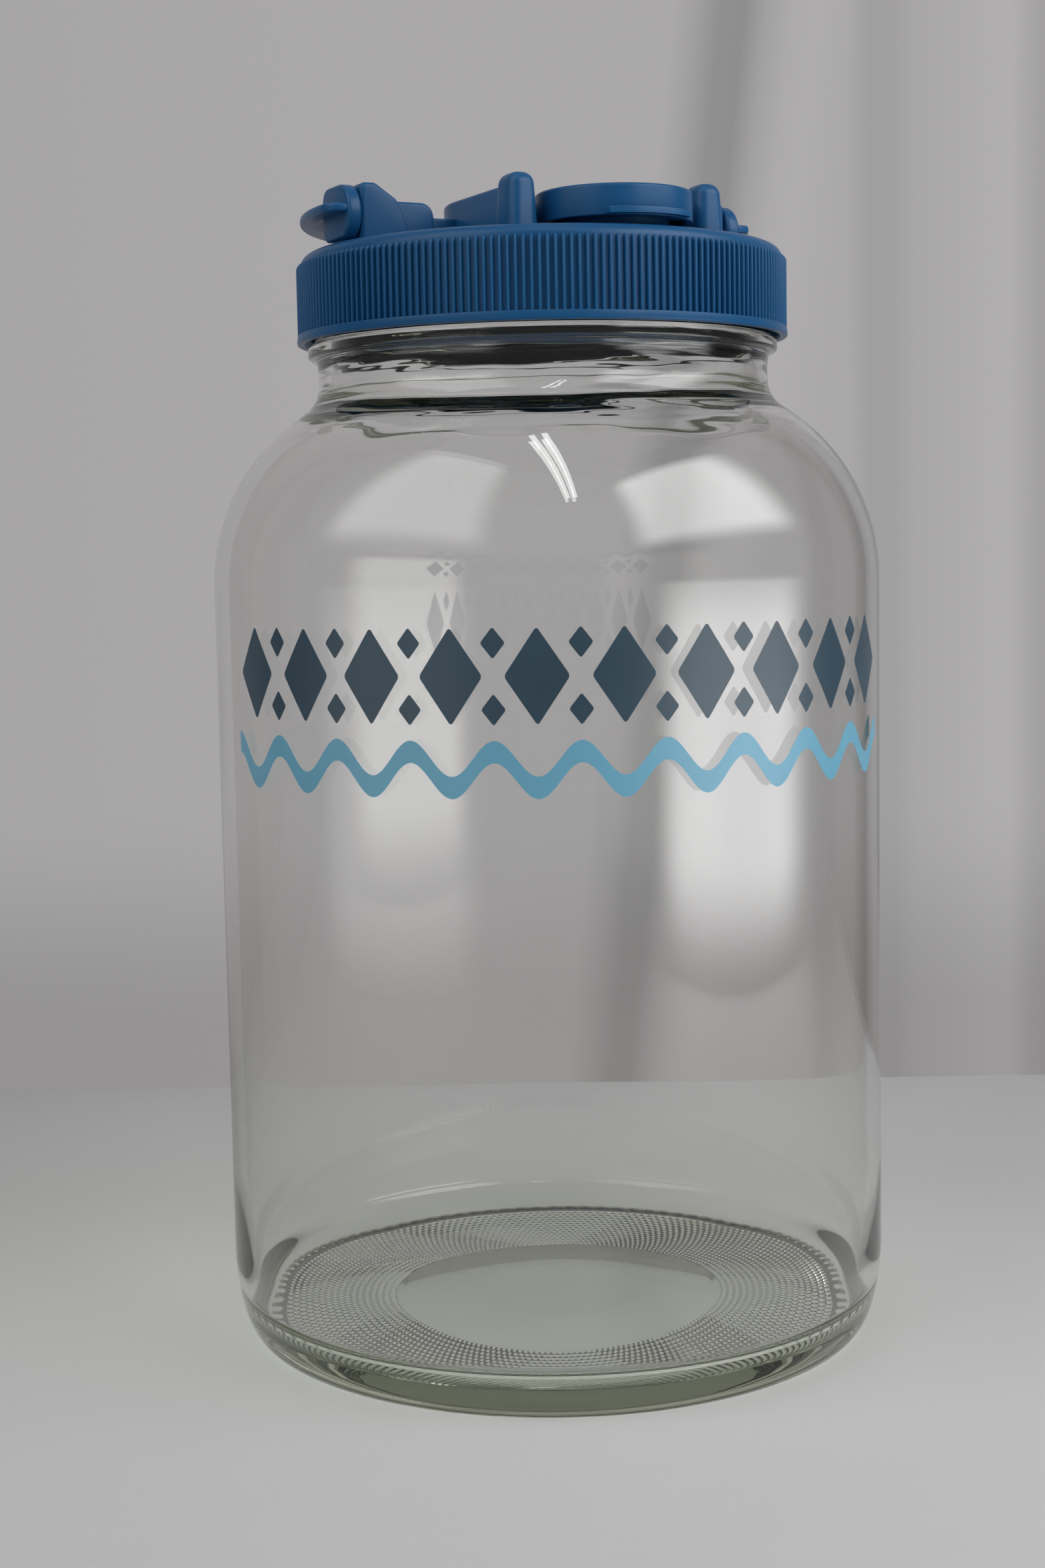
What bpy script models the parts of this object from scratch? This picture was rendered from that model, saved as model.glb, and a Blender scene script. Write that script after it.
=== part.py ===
# Glass water jar with a screw lid, a flip pour cap and a fold-back carry handle.
# Metres, +Z up. The origin lies on the jar's axis, on the surface it stands on.
# The pour spout faces -Y, and the handle lies folded back over +Y.

import math

import bmesh
import bpy
from mathutils import Matrix, Vector

# Jar body
BODY_RADIUS = 0.0775
BODY_WALL = 0.0032
SIDE_TOP = 0.1755
SHOULDER_RADIUS = 0.0465
HEEL_HEIGHT = 0.021
HEEL_DEPTH = 0.0060

# Jar base
STAND_WIDTH = 0.0024
BASE_THICKNESS = 0.0046
BASE_RECESS = 0.0012
PUSH_UP_RADIUS = 0.0394
PUSH_UP_RISE = 0.0022
PUSH_UP_SLOPE = 0.0030
FLOOR_CORNER = 0.009

# Jar neck and mouth
NECK_RADIUS = 0.0521
NECK_FILLET = 0.008
NECK_LENGTH = 0.0058
MOUTH_RADIUS = 0.0493
BEAD_HEIGHT = 0.0032
BEAD_ROUNDING = 0.0011
FINISH_RADIUS = 0.0529
FINISH_HEIGHT = 0.0169
RIM_ROUNDING = 0.0010

# Thread, one start and right-handed, on the mouth and inside the lid
THREAD_PITCH = 0.00508
THREAD_TURNS = 1.25
THREAD_DEPTH = 0.0015
THREAD_ROOT_WIDTH = 0.0024
THREAD_CREST_WIDTH = 0.0011
THREAD_BELOW_RIM = 0.0032

# Clearances
SEAT_GAP = 0.0003
THREAD_GAP = 0.0004
PIN_GAP = 0.0003
SIDE_GAP = 0.0004

# Screw lid
LID_WALL = 0.0011
LID_TOP = 0.0017
LID_EDGE_RADIUS = 0.0027
LIP_HEIGHT = 0.0020
LIP_FLARE = 0.0002
RIB_COUNT = 210
RIB_HEIGHT = 0.0007
RIB_CREST_SHARE = 0.32
RIB_ROOT_SHARE = 0.60
GASKET_WIDTH = 0.0054
GASKET_THICKNESS = 0.0012

# Pour spout
SPOUT_OFFSET = 0.0343
SPOUT_BORE = 0.0095
SPOUT_WALL = 0.0025
SPOUT_HEIGHT = 0.0056

# Flip cap and its seal
CAP_RADIUS = 0.0172
CAP_WALL = 0.0016
CAP_HEIGHT = 0.0067
CAP_LIFT = 0.0023
CAP_EDGE_RADIUS = 0.0007
LEDGE_SPAN = 64
LEDGE_REACH = 0.0018
LEDGE_THICKNESS = 0.0014
LEDGE_ABOVE_EDGE = 0.0002
HINGE_ABOVE_EDGE = 0.0037
HINGE_BARREL_RADIUS = 0.0026
HINGE_PIN_RADIUS = 0.0015
HINGE_PIN_LENGTH = 0.0016
HINGE_WEB_LENGTH = 0.028
HINGE_WEB_BELOW = 0.0013
HINGE_WEB_ABOVE = 0.0021
SEAL_THICKNESS = 0.0012
SEAL_MARGIN = 0.0016
SEAL_PLUG_DEPTH = 0.0024
SEAL_PLUG_WALL = 0.0016
SEAL_PLUG_GAP = 0.0005

# Guard wall round the folded-back cap, and the posts at its front
GUARD_WALL = 0.0024
GUARD_HEIGHT = 0.0112
GUARD_CLEARANCE = 0.0008
GUARD_EDGE = 0.0009
FRONT_POST_WIDTH = 0.0063
FRONT_POST_LENGTH = 0.0090
FRONT_POST_HEIGHT = 0.0124
FRONT_POST_SETBACK = 0.0008
FRONT_POST_ROUNDING = 0.0026

# Pivot posts of the handle, with the stiffening hump and web inboard of each
PIVOT_SPAN = 0.0944
PIVOT_HEIGHT = 0.0070
PIVOT_POST_HEIGHT = 0.0135
PIVOT_POST_BASE = 0.0138
PIVOT_POST_TOP = 0.0036
PIVOT_POST_SHOULDER = 0.0088
PIVOT_SHOULDER_DROP = 0.0034
PIVOT_POST_WIDTH = 0.0100
PIVOT_POST_ROUNDING = 0.0014
HUMP_LENGTH = 0.0190
HUMP_HEIGHT = 0.0099
HUMP_WIDTH = 0.0074
HUMP_ROUNDING = 0.0030
HUMP_SLOPE = 0.0008
WEB_HEIGHT = 0.0070
WEB_WIDTH = 0.0030
POST_EDGE = 0.0009
BOSS_ROOT = 0.0013

# Carry handle
HANDLE_DISC_RADIUS = 0.0063
HANDLE_DISC_THICKNESS = 0.0033
HANDLE_PIN_RADIUS = 0.0025
HANDLE_PIN_LENGTH = 0.0048
STRAP_THICKNESS = 0.0019
STRAP_ABOVE_PIVOT = 0.0007
STRAP_SIDE_WIDTH = 0.0046
STRAP_OVERHANG = 3
GRIP_WIDTH = 0.0132
STRAP_EDGE = 0.0005
DISC_EDGE = 0.0008
EAR_LENGTH = 0.0088
EAR_DROP = 0.0056
EAR_TOP_ROUNDING = 0.0030
EAR_FOOT_ROUNDING = 0.0022

# Fineness of the round shapes
ROUND_STEPS = 56
CAP_STEPS = 40
SPOUT_STEPS = 32
STRAP_STEPS = 30
GUARD_STEPS = 16
PIN_STEPS = 20
HEEL_STEPS = 6
ARC_STEPS = 4
SMALL_EDGE = 0.0003
OVERLAP = 0.0004
MERGE_DISTANCE = 0.00001

# Places worked out from the sizes above
shoulder_centre = BODY_RADIUS - SHOULDER_RADIUS
neck_bottom = SIDE_TOP + math.sqrt(
    (SHOULDER_RADIUS + NECK_FILLET) ** 2 - (NECK_RADIUS + NECK_FILLET - shoulder_centre) ** 2)
bead_bottom = neck_bottom + NECK_LENGTH
bead_top = bead_bottom + BEAD_HEIGHT
rim_top = bead_top + FINISH_HEIGHT
thread_crest = FINISH_RADIUS + THREAD_DEPTH
thread_top = rim_top - THREAD_BELOW_RIM

lid_bottom = bead_top + SEAT_GAP
lid_inner_radius = thread_crest + THREAD_GAP
lid_radius = lid_inner_radius + LID_WALL
rib_radius = lid_radius + RIB_HEIGHT
gasket_bottom = rim_top + SEAT_GAP
gasket_top = gasket_bottom + GASKET_THICKNESS
plate_bottom = gasket_top + SEAT_GAP
plate_top = plate_bottom + LID_TOP
boss_bottom = plate_top - BOSS_ROOT

spout_y = -SPOUT_OFFSET
spout_top = plate_top + SPOUT_HEIGHT
cap_bottom = plate_top + CAP_LIFT
cap_top = cap_bottom + CAP_HEIGHT
cap_ceiling = cap_top - CAP_WALL
hinge_y = spout_y / 2
hinge_z = cap_bottom + HINGE_ABOVE_EDGE
guard_inner = CAP_RADIUS + LEDGE_REACH + GUARD_CLEARANCE
guard_outer = guard_inner + GUARD_WALL

pivot_x = PIVOT_SPAN / 2
pivot_z = plate_top + PIVOT_HEIGHT
disc_inner = pivot_x + SEAT_GAP
disc_outer = disc_inner + HANDLE_DISC_THICKNESS
handle_radius = disc_outer + STRAP_SIDE_WIDTH
strap_z = pivot_z + STRAP_ABOVE_PIVOT

for old in list(bpy.data.objects):
    bpy.data.objects.remove(old)

parts = bpy.data.collections.new("glass_water_jar")
shapes = bpy.data.collections.new("cutters_and_guides")
for group in (parts, shapes):
    bpy.context.scene.collection.children.link(group)


def material(name, colour, roughness, metallic=0.0, transmission=0.0):
    made = bpy.data.materials.new(name)
    made.use_nodes = True
    shader = made.node_tree.nodes["Principled BSDF"]
    shader.inputs["Base Color"].default_value = (*colour, 1.0)
    shader.inputs["Roughness"].default_value = roughness
    shader.inputs["Metallic"].default_value = metallic
    shader.inputs["Transmission Weight"].default_value = transmission
    return made


def add_part(name, mesh, finish):
    part = bpy.data.objects.new(name, mesh)
    part.data.materials.append(finish)
    parts.objects.link(part)
    return part


def add_shape(name, mesh):
    shape = bpy.data.objects.new(name, mesh)
    shape.hide_render = True
    shape.display_type = "WIRE"
    shapes.objects.link(shape)
    return shape


def hang_on_pivot(part, name, place):
    # An empty on the joint's axis carries the part, which keeps its own place.
    pivot = bpy.data.objects.new(name, None)
    pivot.location = place
    parts.objects.link(pivot)
    part.parent = pivot
    part.location = part.location - pivot.location


def combine(target, tool, operation):
    step = target.modifiers.new(tool.name, "BOOLEAN")
    step.operation = operation
    step.solver = "EXACT"
    step.object = tool


def soften(shape, width, segments=2):
    edge = shape.modifiers.new("Rounded edges", "BEVEL")
    edge.width = width
    edge.segments = segments
    edge.limit_method = "ANGLE"
    edge.angle_limit = math.radians(40)


def arc(centre, radius, start, end, steps):
    # Points from the angle start to the angle end, in degrees.
    points = []
    for index in range(steps + 1):
        angle = math.radians(start + (end - start) * index / steps)
        points.append((centre[0] + radius * math.cos(angle), centre[1] + radius * math.sin(angle)))
    return points


def rounded(corners, closed=True, steps=ARC_STEPS):
    # Each corner is (x, y, radius). A radius of 0 leaves the corner sharp.
    points = []
    for index, (x, y, radius) in enumerate(corners):
        is_end = not closed and index in (0, len(corners) - 1)
        if radius == 0 or is_end:
            points.append((x, y))
            continue
        corner = Vector((x, y))
        before = (Vector(corners[index - 1][:2]) - corner).normalized()
        after = (Vector(corners[(index + 1) % len(corners)][:2]) - corner).normalized()
        half = before.angle(after) / 2
        start = corner + before * radius / math.tan(half)
        centre = corner + (before + after).normalized() * radius / math.sin(half)
        turn = math.copysign(math.pi - 2 * half, after.cross(before))
        for step in range(steps + 1):
            points.append(centre + Matrix.Rotation(turn * step / steps, 2) @ (start - centre))
    return [(point[0], point[1]) for point in points]


def turn(shape, steps=ROUND_STEPS):
    screw = shape.modifiers.new("Turned", "SCREW")
    screw.steps = steps
    screw.render_steps = steps
    screw.use_merge_vertices = True
    screw.merge_threshold = MERGE_DISTANCE
    screw.use_smooth_shade = True


def profile_mesh(name, points, closed=False):
    # The points (radius, height) run down the outer side, from top to bottom.
    mesh = bpy.data.meshes.new(name)
    edges = [(index, index + 1) for index in range(len(points) - 1)]
    if closed:
        edges.append((len(points) - 1, 0))
    mesh.from_pydata([(radius, 0, height) for radius, height in points], edges, [])
    return mesh


def outline_mesh(name, outlines, depth, placement):
    # A flat outline in its own XY plane, given a depth and then its placement.
    curve = bpy.data.curves.new(name, "CURVE")
    curve.dimensions = "2D"
    curve.fill_mode = "BOTH"
    curve.extrude = depth / 2
    for points in outlines:
        spline = curve.splines.new("POLY")
        spline.points.add(len(points) - 1)
        for point, (x, y) in zip(spline.points, points):
            point.co = (x, y, 0, 1)
        spline.use_cyclic_u = True
    guide = bpy.data.objects.new(name, curve)
    shapes.objects.link(guide)
    bpy.context.view_layer.update()
    seen = guide.evaluated_get(bpy.context.evaluated_depsgraph_get())
    mesh = bpy.data.meshes.new_from_object(seen)
    bpy.data.objects.remove(guide)
    work = bmesh.new()
    work.from_mesh(mesh)
    bmesh.ops.remove_doubles(work, verts=work.verts, dist=MERGE_DISTANCE)
    bmesh.ops.transform(work, matrix=placement, verts=work.verts)
    work.to_mesh(mesh)
    work.free()
    mesh.name = name
    return mesh


def flat_at(height):
    return Matrix.Translation((0, 0, height))


def upright():
    # Turns an outline drawn as (x, z) up, with its depth along Y.
    return Matrix.Rotation(math.pi / 2, 4, "X")


def sideways(place):
    # Turns an outline drawn as (y, z) up, with its depth along X, centred on place.
    return Matrix(((0, 0, 1, place), (1, 0, 0, 0), (0, 1, 0, 0), (0, 0, 0, 1)))


def cylinder_mesh(name, radius, start, end, along, centre, steps=PIN_STEPS):
    # A cylinder from start to end on the axis along, through the point centre.
    mesh = bpy.data.meshes.new(name)
    work = bmesh.new()
    bmesh.ops.create_cone(work, cap_ends=True, segments=steps, radius1=radius, radius2=radius,
                          depth=end - start)
    middle = (start + end) / 2
    if along == "X":
        placement = Matrix.Translation((middle, centre[0], centre[1]))
        placement = placement @ Matrix.Rotation(math.pi / 2, 4, "Y")
    else:
        placement = Matrix.Translation((centre[0], centre[1], middle))
    bmesh.ops.transform(work, matrix=placement, verts=work.verts)
    work.to_mesh(mesh)
    work.free()
    return mesh


def block_mesh(name, low, high, rounding, segments):
    # A block whose edges are rounded, all but those of its foot.
    mesh = bpy.data.meshes.new(name)
    work = bmesh.new()
    bmesh.ops.create_cube(work, size=1.0)
    size = Vector(high) - Vector(low)
    placement = Matrix.Translation((Vector(low) + Vector(high)) / 2) @ Matrix.Diagonal((*size, 1))
    bmesh.ops.transform(work, matrix=placement, verts=work.verts)
    foot = low[2] + MERGE_DISTANCE
    edges = [edge for edge in work.edges if max(vert.co.z for vert in edge.verts) > foot]
    bmesh.ops.bevel(work, geom=edges, offset=rounding, offset_type="OFFSET", segments=segments,
                    profile=0.5, affect="EDGES", material=-1)
    work.to_mesh(mesh)
    work.free()
    return mesh


def thread_mesh(name, wall, depth, root_width, crest_width, top):
    # A ridge that winds up the wall. A negative depth points inwards.
    sign = math.copysign(1, depth)
    root = wall - sign * OVERLAP
    crest = wall + depth
    faded = wall - sign * OVERLAP / 2
    low = top - THREAD_PITCH * THREAD_TURNS
    mesh = bpy.data.meshes.new(name)
    work = bmesh.new()
    foot = [work.verts.new((root, 0, low + side * root_width / 2)) for side in (-1, 1)]
    lip = [work.verts.new((crest, 0, low + side * crest_width / 2)) for side in (1, -1)]
    section = work.faces.new(foot + lip)
    steps = round(ROUND_STEPS * THREAD_TURNS)
    made = bmesh.ops.spin(work, geom=[section] + section.edges[:] + section.verts[:], cent=(0, 0, 0),
                          axis=(0, 0, 1), dvec=(0, 0, THREAD_PITCH * THREAD_TURNS / steps),
                          angle=2 * math.pi * THREAD_TURNS, steps=steps)
    last = [item for item in made["geom_last"] if isinstance(item, bmesh.types.BMVert)]
    for vert in lip + last:
        reach = math.hypot(vert.co.x, vert.co.y)
        if abs(reach - crest) < MERGE_DISTANCE:
            vert.co.x *= faded / reach
            vert.co.y *= faded / reach
    bmesh.ops.recalc_face_normals(work, faces=work.faces)
    work.to_mesh(mesh)
    work.free()
    return mesh


def neck_curve(shoulder, neck, fillet):
    # Where the shoulder's arc meets the fillet, as an angle, and the fillet's centre.
    side = neck + fillet - shoulder_centre
    rise = math.sqrt((shoulder + fillet) ** 2 - side ** 2)
    return math.degrees(math.atan2(rise, side)), (neck + fillet, SIDE_TOP + rise)


def jar_outside():
    angle, fillet_centre = neck_curve(SHOULDER_RADIUS, NECK_RADIUS, NECK_FILLET)
    points = arc(fillet_centre, NECK_FILLET, 180, 180 + angle, 4)
    points += arc((shoulder_centre, SIDE_TOP), SHOULDER_RADIUS, angle, 0, 8)[1:]
    heel_radius = BODY_RADIUS - HEEL_DEPTH
    for x, y in arc((0, 0), 1, 0, -90, HEEL_STEPS):
        points.append((heel_radius + HEEL_DEPTH * x, HEEL_HEIGHT * (1 + y)))
    return points


def jar_underside():
    ring_inner = BODY_RADIUS - HEEL_DEPTH - STAND_WIDTH
    return [(ring_inner, 0), (ring_inner - BASE_RECESS, BASE_RECESS),
            (PUSH_UP_RADIUS, BASE_RECESS), (PUSH_UP_RADIUS - PUSH_UP_SLOPE, PUSH_UP_RISE),
            (0, PUSH_UP_RISE + BASE_RECESS / 2)]


def jar_inside():
    floor = BASE_RECESS + BASE_THICKNESS
    inner = BODY_RADIUS - BODY_WALL
    shoulder = SHOULDER_RADIUS - BODY_WALL
    fillet = NECK_FILLET + BODY_WALL
    angle, fillet_centre = neck_curve(shoulder, MOUTH_RADIUS, fillet)
    push_up = floor + PUSH_UP_RISE - BASE_RECESS
    points = [(0, push_up + BASE_RECESS / 2), (PUSH_UP_RADIUS - PUSH_UP_SLOPE, push_up),
              (PUSH_UP_RADIUS, floor)]
    points += arc((inner - FLOOR_CORNER, floor + FLOOR_CORNER), FLOOR_CORNER, -90, 0, 4)
    points += arc((shoulder_centre, SIDE_TOP), shoulder, 0, angle, 7)
    points += arc(fillet_centre, fillet, 180 + angle, 180, 3)[1:]
    return points


def jar_mouth():
    bead = [(FINISH_RADIUS, bead_top + BEAD_ROUNDING, 0), (thread_crest, bead_top, BEAD_ROUNDING),
            (thread_crest, bead_bottom, BEAD_ROUNDING), (NECK_RADIUS, bead_bottom, 0)]
    rim = [(MOUTH_RADIUS, rim_top - 2 * RIM_ROUNDING, 0), (MOUTH_RADIUS, rim_top, RIM_ROUNDING),
           (FINISH_RADIUS, rim_top, RIM_ROUNDING), (FINISH_RADIUS, rim_top - 2 * RIM_ROUNDING, 0)]
    return rounded(rim, closed=False, steps=2) + rounded(bead, closed=False, steps=2)


def make_jar(finish):
    profile = jar_inside() + jar_mouth() + jar_outside() + jar_underside()
    jar = add_part("glass_jar", profile_mesh("glass_jar", profile), finish)
    turn(jar)
    ridge = thread_mesh("jar_thread", FINISH_RADIUS, THREAD_DEPTH, THREAD_ROOT_WIDTH,
                        THREAD_CREST_WIDTH, thread_top)
    combine(jar, add_shape("jar_thread", ridge), "UNION")


def rib_outline():
    pitch = 2 * math.pi / RIB_COUNT
    points = []
    for index in range(RIB_COUNT):
        for radius, share in ((lid_radius, -RIB_ROOT_SHARE), (rib_radius, -RIB_CREST_SHARE),
                              (rib_radius, RIB_CREST_SHARE), (lid_radius, RIB_ROOT_SHARE)):
            angle = pitch * (index + share / 2)
            points.append((radius * math.cos(angle), radius * math.sin(angle)))
    return points


def guard_outline():
    arm = spout_y + FRONT_POST_SETBACK
    outer = arc((0, 0), guard_outer, 0, 180, GUARD_STEPS)
    inner = arc((0, 0), guard_inner, 180, 0, GUARD_STEPS)
    return ([(guard_outer, arm)] + outer + [(-guard_outer, arm)]
            + [(-guard_inner, arm)] + inner + [(guard_inner, arm)])


def pivot_outlines(side):
    # The post, the hump and the web beside it, each drawn as (x, z) with its width along Y.
    post_top = plate_top + PIVOT_POST_HEIGHT
    hump_top = plate_top + HUMP_HEIGHT
    rounding = PIVOT_POST_ROUNDING
    post = [(pivot_x, boss_bottom, 0), (pivot_x, post_top, rounding),
            (pivot_x - PIVOT_POST_TOP, post_top, rounding),
            (pivot_x - PIVOT_POST_SHOULDER, post_top - PIVOT_SHOULDER_DROP, rounding),
            (pivot_x - PIVOT_POST_BASE, boss_bottom, 0)]
    hump_start = pivot_x - PIVOT_POST_WIDTH / 2
    hump_end = pivot_x - HUMP_LENGTH
    hump = [(hump_start, boss_bottom, 0), (hump_start, hump_top, 0),
            (hump_end + HUMP_SLOPE, hump_top, HUMP_ROUNDING), (hump_end, boss_bottom, 0)]
    web_top = plate_top + WEB_HEIGHT
    web_start = hump_end + 2 * OVERLAP + HUMP_WIDTH / 2
    web_end = guard_outer - GUARD_WALL / 2
    web = [(web_start, boss_bottom, 0), (web_start, web_top, 0),
           (web_end, web_top, 0), (web_end, boss_bottom, 0)]
    found = []
    for label, corners, width in (("post", post, PIVOT_POST_WIDTH), ("hump", hump, HUMP_WIDTH),
                                  ("web", web, WEB_WIDTH)):
        outline = [(side * x, z) for x, z in rounded(corners)]
        found.append((label, outline, width))
    return found


def make_lid(finish):
    lip_radius = rib_radius + LIP_FLARE
    core = lid_radius - OVERLAP / 2
    rib_bottom = lid_bottom + LIP_HEIGHT
    rib_top = plate_top - LID_EDGE_RADIUS
    corners = [(0, plate_top, 0), (core, plate_top, LID_EDGE_RADIUS), (core, rib_bottom, 0),
               (rib_radius + LIP_FLARE / 2, rib_bottom, 0), (lip_radius, lid_bottom, 0),
               (lid_inner_radius, lid_bottom, 0), (lid_inner_radius, plate_bottom, 0),
               (0, plate_bottom, 0)]
    lid = add_part("screw_lid", profile_mesh("screw_lid", rounded(corners, closed=False)), finish)
    turn(lid)

    ribs_start = rib_bottom - OVERLAP
    inner = arc((0, 0), lid_radius - LID_WALL / 2, 0, 360, ROUND_STEPS)[:-1]
    ribs = outline_mesh("grip_ribs", [rib_outline(), inner], rib_top - ribs_start,
                        flat_at((rib_top + ribs_start) / 2))
    combine(lid, add_shape("grip_ribs", ribs), "UNION")

    flank = (THREAD_ROOT_WIDTH + THREAD_CREST_WIDTH) / 2
    ridge = thread_mesh("lid_thread", lid_inner_radius, -THREAD_DEPTH, THREAD_ROOT_WIDTH,
                        THREAD_CREST_WIDTH, thread_top - flank - SEAT_GAP)
    combine(lid, add_shape("lid_thread", ridge), "UNION")

    guard_top = plate_top + GUARD_HEIGHT
    guard = add_shape("cap_guard", outline_mesh("cap_guard", [guard_outline()],
                                                guard_top - boss_bottom,
                                                flat_at((guard_top + boss_bottom) / 2)))
    soften(guard, GUARD_EDGE)
    combine(lid, guard, "UNION")

    for side, label in ((-1, "left"), (1, "right")):
        xs = sorted((side * guard_inner, side * (guard_inner + FRONT_POST_WIDTH)))
        middle = spout_y + FRONT_POST_SETBACK
        low = (xs[0], middle - FRONT_POST_LENGTH / 2, boss_bottom)
        high = (xs[1], middle + FRONT_POST_LENGTH / 2, plate_top + FRONT_POST_HEIGHT)
        post = block_mesh(f"front_post_{label}", low, high, FRONT_POST_ROUNDING, 3)
        combine(lid, add_shape(post.name, post), "UNION")
        for kind, outline, width in pivot_outlines(side):
            boss = outline_mesh(f"{kind}_{label}", [outline], width, upright())
            boss = add_shape(boss.name, boss)
            soften(boss, POST_EDGE)
            combine(lid, boss, "UNION")
        ends = sorted((side * (pivot_x - HANDLE_PIN_LENGTH - PIN_GAP), side * (pivot_x + OVERLAP)))
        bore = cylinder_mesh(f"handle_bore_{label}", HANDLE_PIN_RADIUS + PIN_GAP, ends[0], ends[1],
                             "X", (0, pivot_z))
        combine(lid, add_shape(bore.name, bore), "DIFFERENCE")

    spout = cylinder_mesh("spout_collar", SPOUT_BORE + SPOUT_WALL, boss_bottom, spout_top, "Z",
                          (0, spout_y), SPOUT_STEPS)
    combine(lid, add_shape("spout_collar", spout), "UNION")
    hole = cylinder_mesh("spout_bore", SPOUT_BORE, plate_bottom - OVERLAP, spout_top + OVERLAP, "Z",
                         (0, spout_y), SPOUT_STEPS)
    combine(lid, add_shape("spout_bore", hole), "DIFFERENCE")
    reach = guard_inner + HINGE_PIN_LENGTH + PIN_GAP
    hinge = cylinder_mesh("cap_hinge_bore", HINGE_PIN_RADIUS + PIN_GAP, -reach, reach, "X",
                          (hinge_y, hinge_z))
    combine(lid, add_shape("cap_hinge_bore", hinge), "DIFFERENCE")


def make_gasket(finish):
    outer = lid_inner_radius - SIDE_GAP
    inner = outer - GASKET_WIDTH
    points = [(inner, gasket_top), (outer, gasket_top), (outer, gasket_bottom), (inner, gasket_bottom)]
    gasket = add_part("lid_gasket", profile_mesh("lid_gasket", points, closed=True), finish)
    turn(gasket)


def make_flip_cap(finish):
    corners = [(0, CAP_HEIGHT, 0), (CAP_RADIUS, CAP_HEIGHT, CAP_EDGE_RADIUS), (CAP_RADIUS, 0, 0), (0, 0, 0)]
    cap = add_part("flip_cap", profile_mesh("flip_cap", rounded(corners, closed=False, steps=2)), finish)
    cap.location = (0, spout_y, cap_bottom)
    turn(cap, CAP_STEPS)

    start, end = -90 - LEDGE_SPAN / 2, -90 + LEDGE_SPAN / 2
    outline = arc((0, spout_y), CAP_RADIUS + LEDGE_REACH, start, end, 2 * ARC_STEPS)
    outline += arc((0, spout_y), CAP_RADIUS - CAP_WALL / 2, end, start, 2 * ARC_STEPS)
    middle = cap_bottom + LEDGE_ABOVE_EDGE + LEDGE_THICKNESS / 2
    ledge = add_shape("thumb_ledge", outline_mesh("thumb_ledge", [outline], LEDGE_THICKNESS,
                                                  flat_at(middle)))
    soften(ledge, SMALL_EDGE, 1)
    combine(cap, ledge, "UNION")

    web = block_mesh("hinge_web",
                     (-HINGE_WEB_LENGTH / 2, spout_y + CAP_RADIUS / 2, hinge_z - HINGE_WEB_BELOW),
                     (HINGE_WEB_LENGTH / 2, hinge_y, hinge_z + HINGE_WEB_ABOVE), SMALL_EDGE, 1)
    combine(cap, add_shape("hinge_web", web), "UNION")
    barrel_end = guard_inner - SIDE_GAP
    pin_end = guard_inner + HINGE_PIN_LENGTH
    for name, radius, end in (("hinge_barrel", HINGE_BARREL_RADIUS, barrel_end),
                              ("hinge_pins", HINGE_PIN_RADIUS, pin_end)):
        rod = cylinder_mesh(name, radius, -end, end, "X", (hinge_y, hinge_z))
        combine(cap, add_shape(name, rod), "UNION")

    hollow = cylinder_mesh("cap_hollow", CAP_RADIUS - CAP_WALL, cap_bottom - OVERLAP, cap_ceiling, "Z",
                           (0, spout_y), CAP_STEPS)
    combine(cap, add_shape("cap_hollow", hollow), "DIFFERENCE")
    hang_on_pivot(cap, "flip_cap_hinge", (0, hinge_y, hinge_z))


def make_seal(finish):
    outer = CAP_RADIUS - CAP_WALL - SEAL_MARGIN
    top = cap_ceiling - SEAT_GAP
    flange = spout_top + SEAT_GAP
    plug = SPOUT_BORE - SEAL_PLUG_GAP
    corners = [(0, top), (outer, top), (outer, flange), (plug, flange),
               (plug, flange - SEAL_PLUG_DEPTH), (plug - SEAL_PLUG_WALL, flange - SEAL_PLUG_DEPTH),
               (plug - SEAL_PLUG_WALL, flange), (0, flange)]
    seal = add_part("flip_cap_seal", profile_mesh("flip_cap_seal", corners), finish)
    seal.location = (0, spout_y, 0)
    turn(seal, SPOUT_STEPS)
    hang_on_pivot(seal, "seal_hinge", (0, hinge_y, hinge_z))


def strap_outline():
    inner_x = disc_outer - OVERLAP
    inner_y = handle_radius - GRIP_WIDTH
    foot = HANDLE_DISC_RADIUS / 2
    outer = arc((0, 0), handle_radius, -STRAP_OVERHANG, 180 + STRAP_OVERHANG, STRAP_STEPS)
    inner = [(inner_x * x, foot + (inner_y - foot) * y)
             for x, y in arc((0, 0), 1, 180, 0, STRAP_STEPS)]
    front = DISC_EDGE - HANDLE_DISC_RADIUS
    return outer + [(-inner_x, front)] + inner + [(inner_x, front)]


def ear_outline():
    # The end plate round the pivot, drawn as (y, z). Its front is a half disc.
    foot = 180 + math.degrees(math.asin(EAR_DROP / HANDLE_DISC_RADIUS))
    front = arc((0, pivot_z), HANDLE_DISC_RADIUS, 90, foot, SPOUT_STEPS // 2)
    low = pivot_z - EAR_DROP
    high = pivot_z + HANDLE_DISC_RADIUS
    back = [(0, low, 0), (EAR_LENGTH, low, EAR_FOOT_ROUNDING), (EAR_LENGTH, high, EAR_TOP_ROUNDING),
            (0, high, 0)]
    return front + rounded(back, closed=False)[1:-1]


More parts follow.
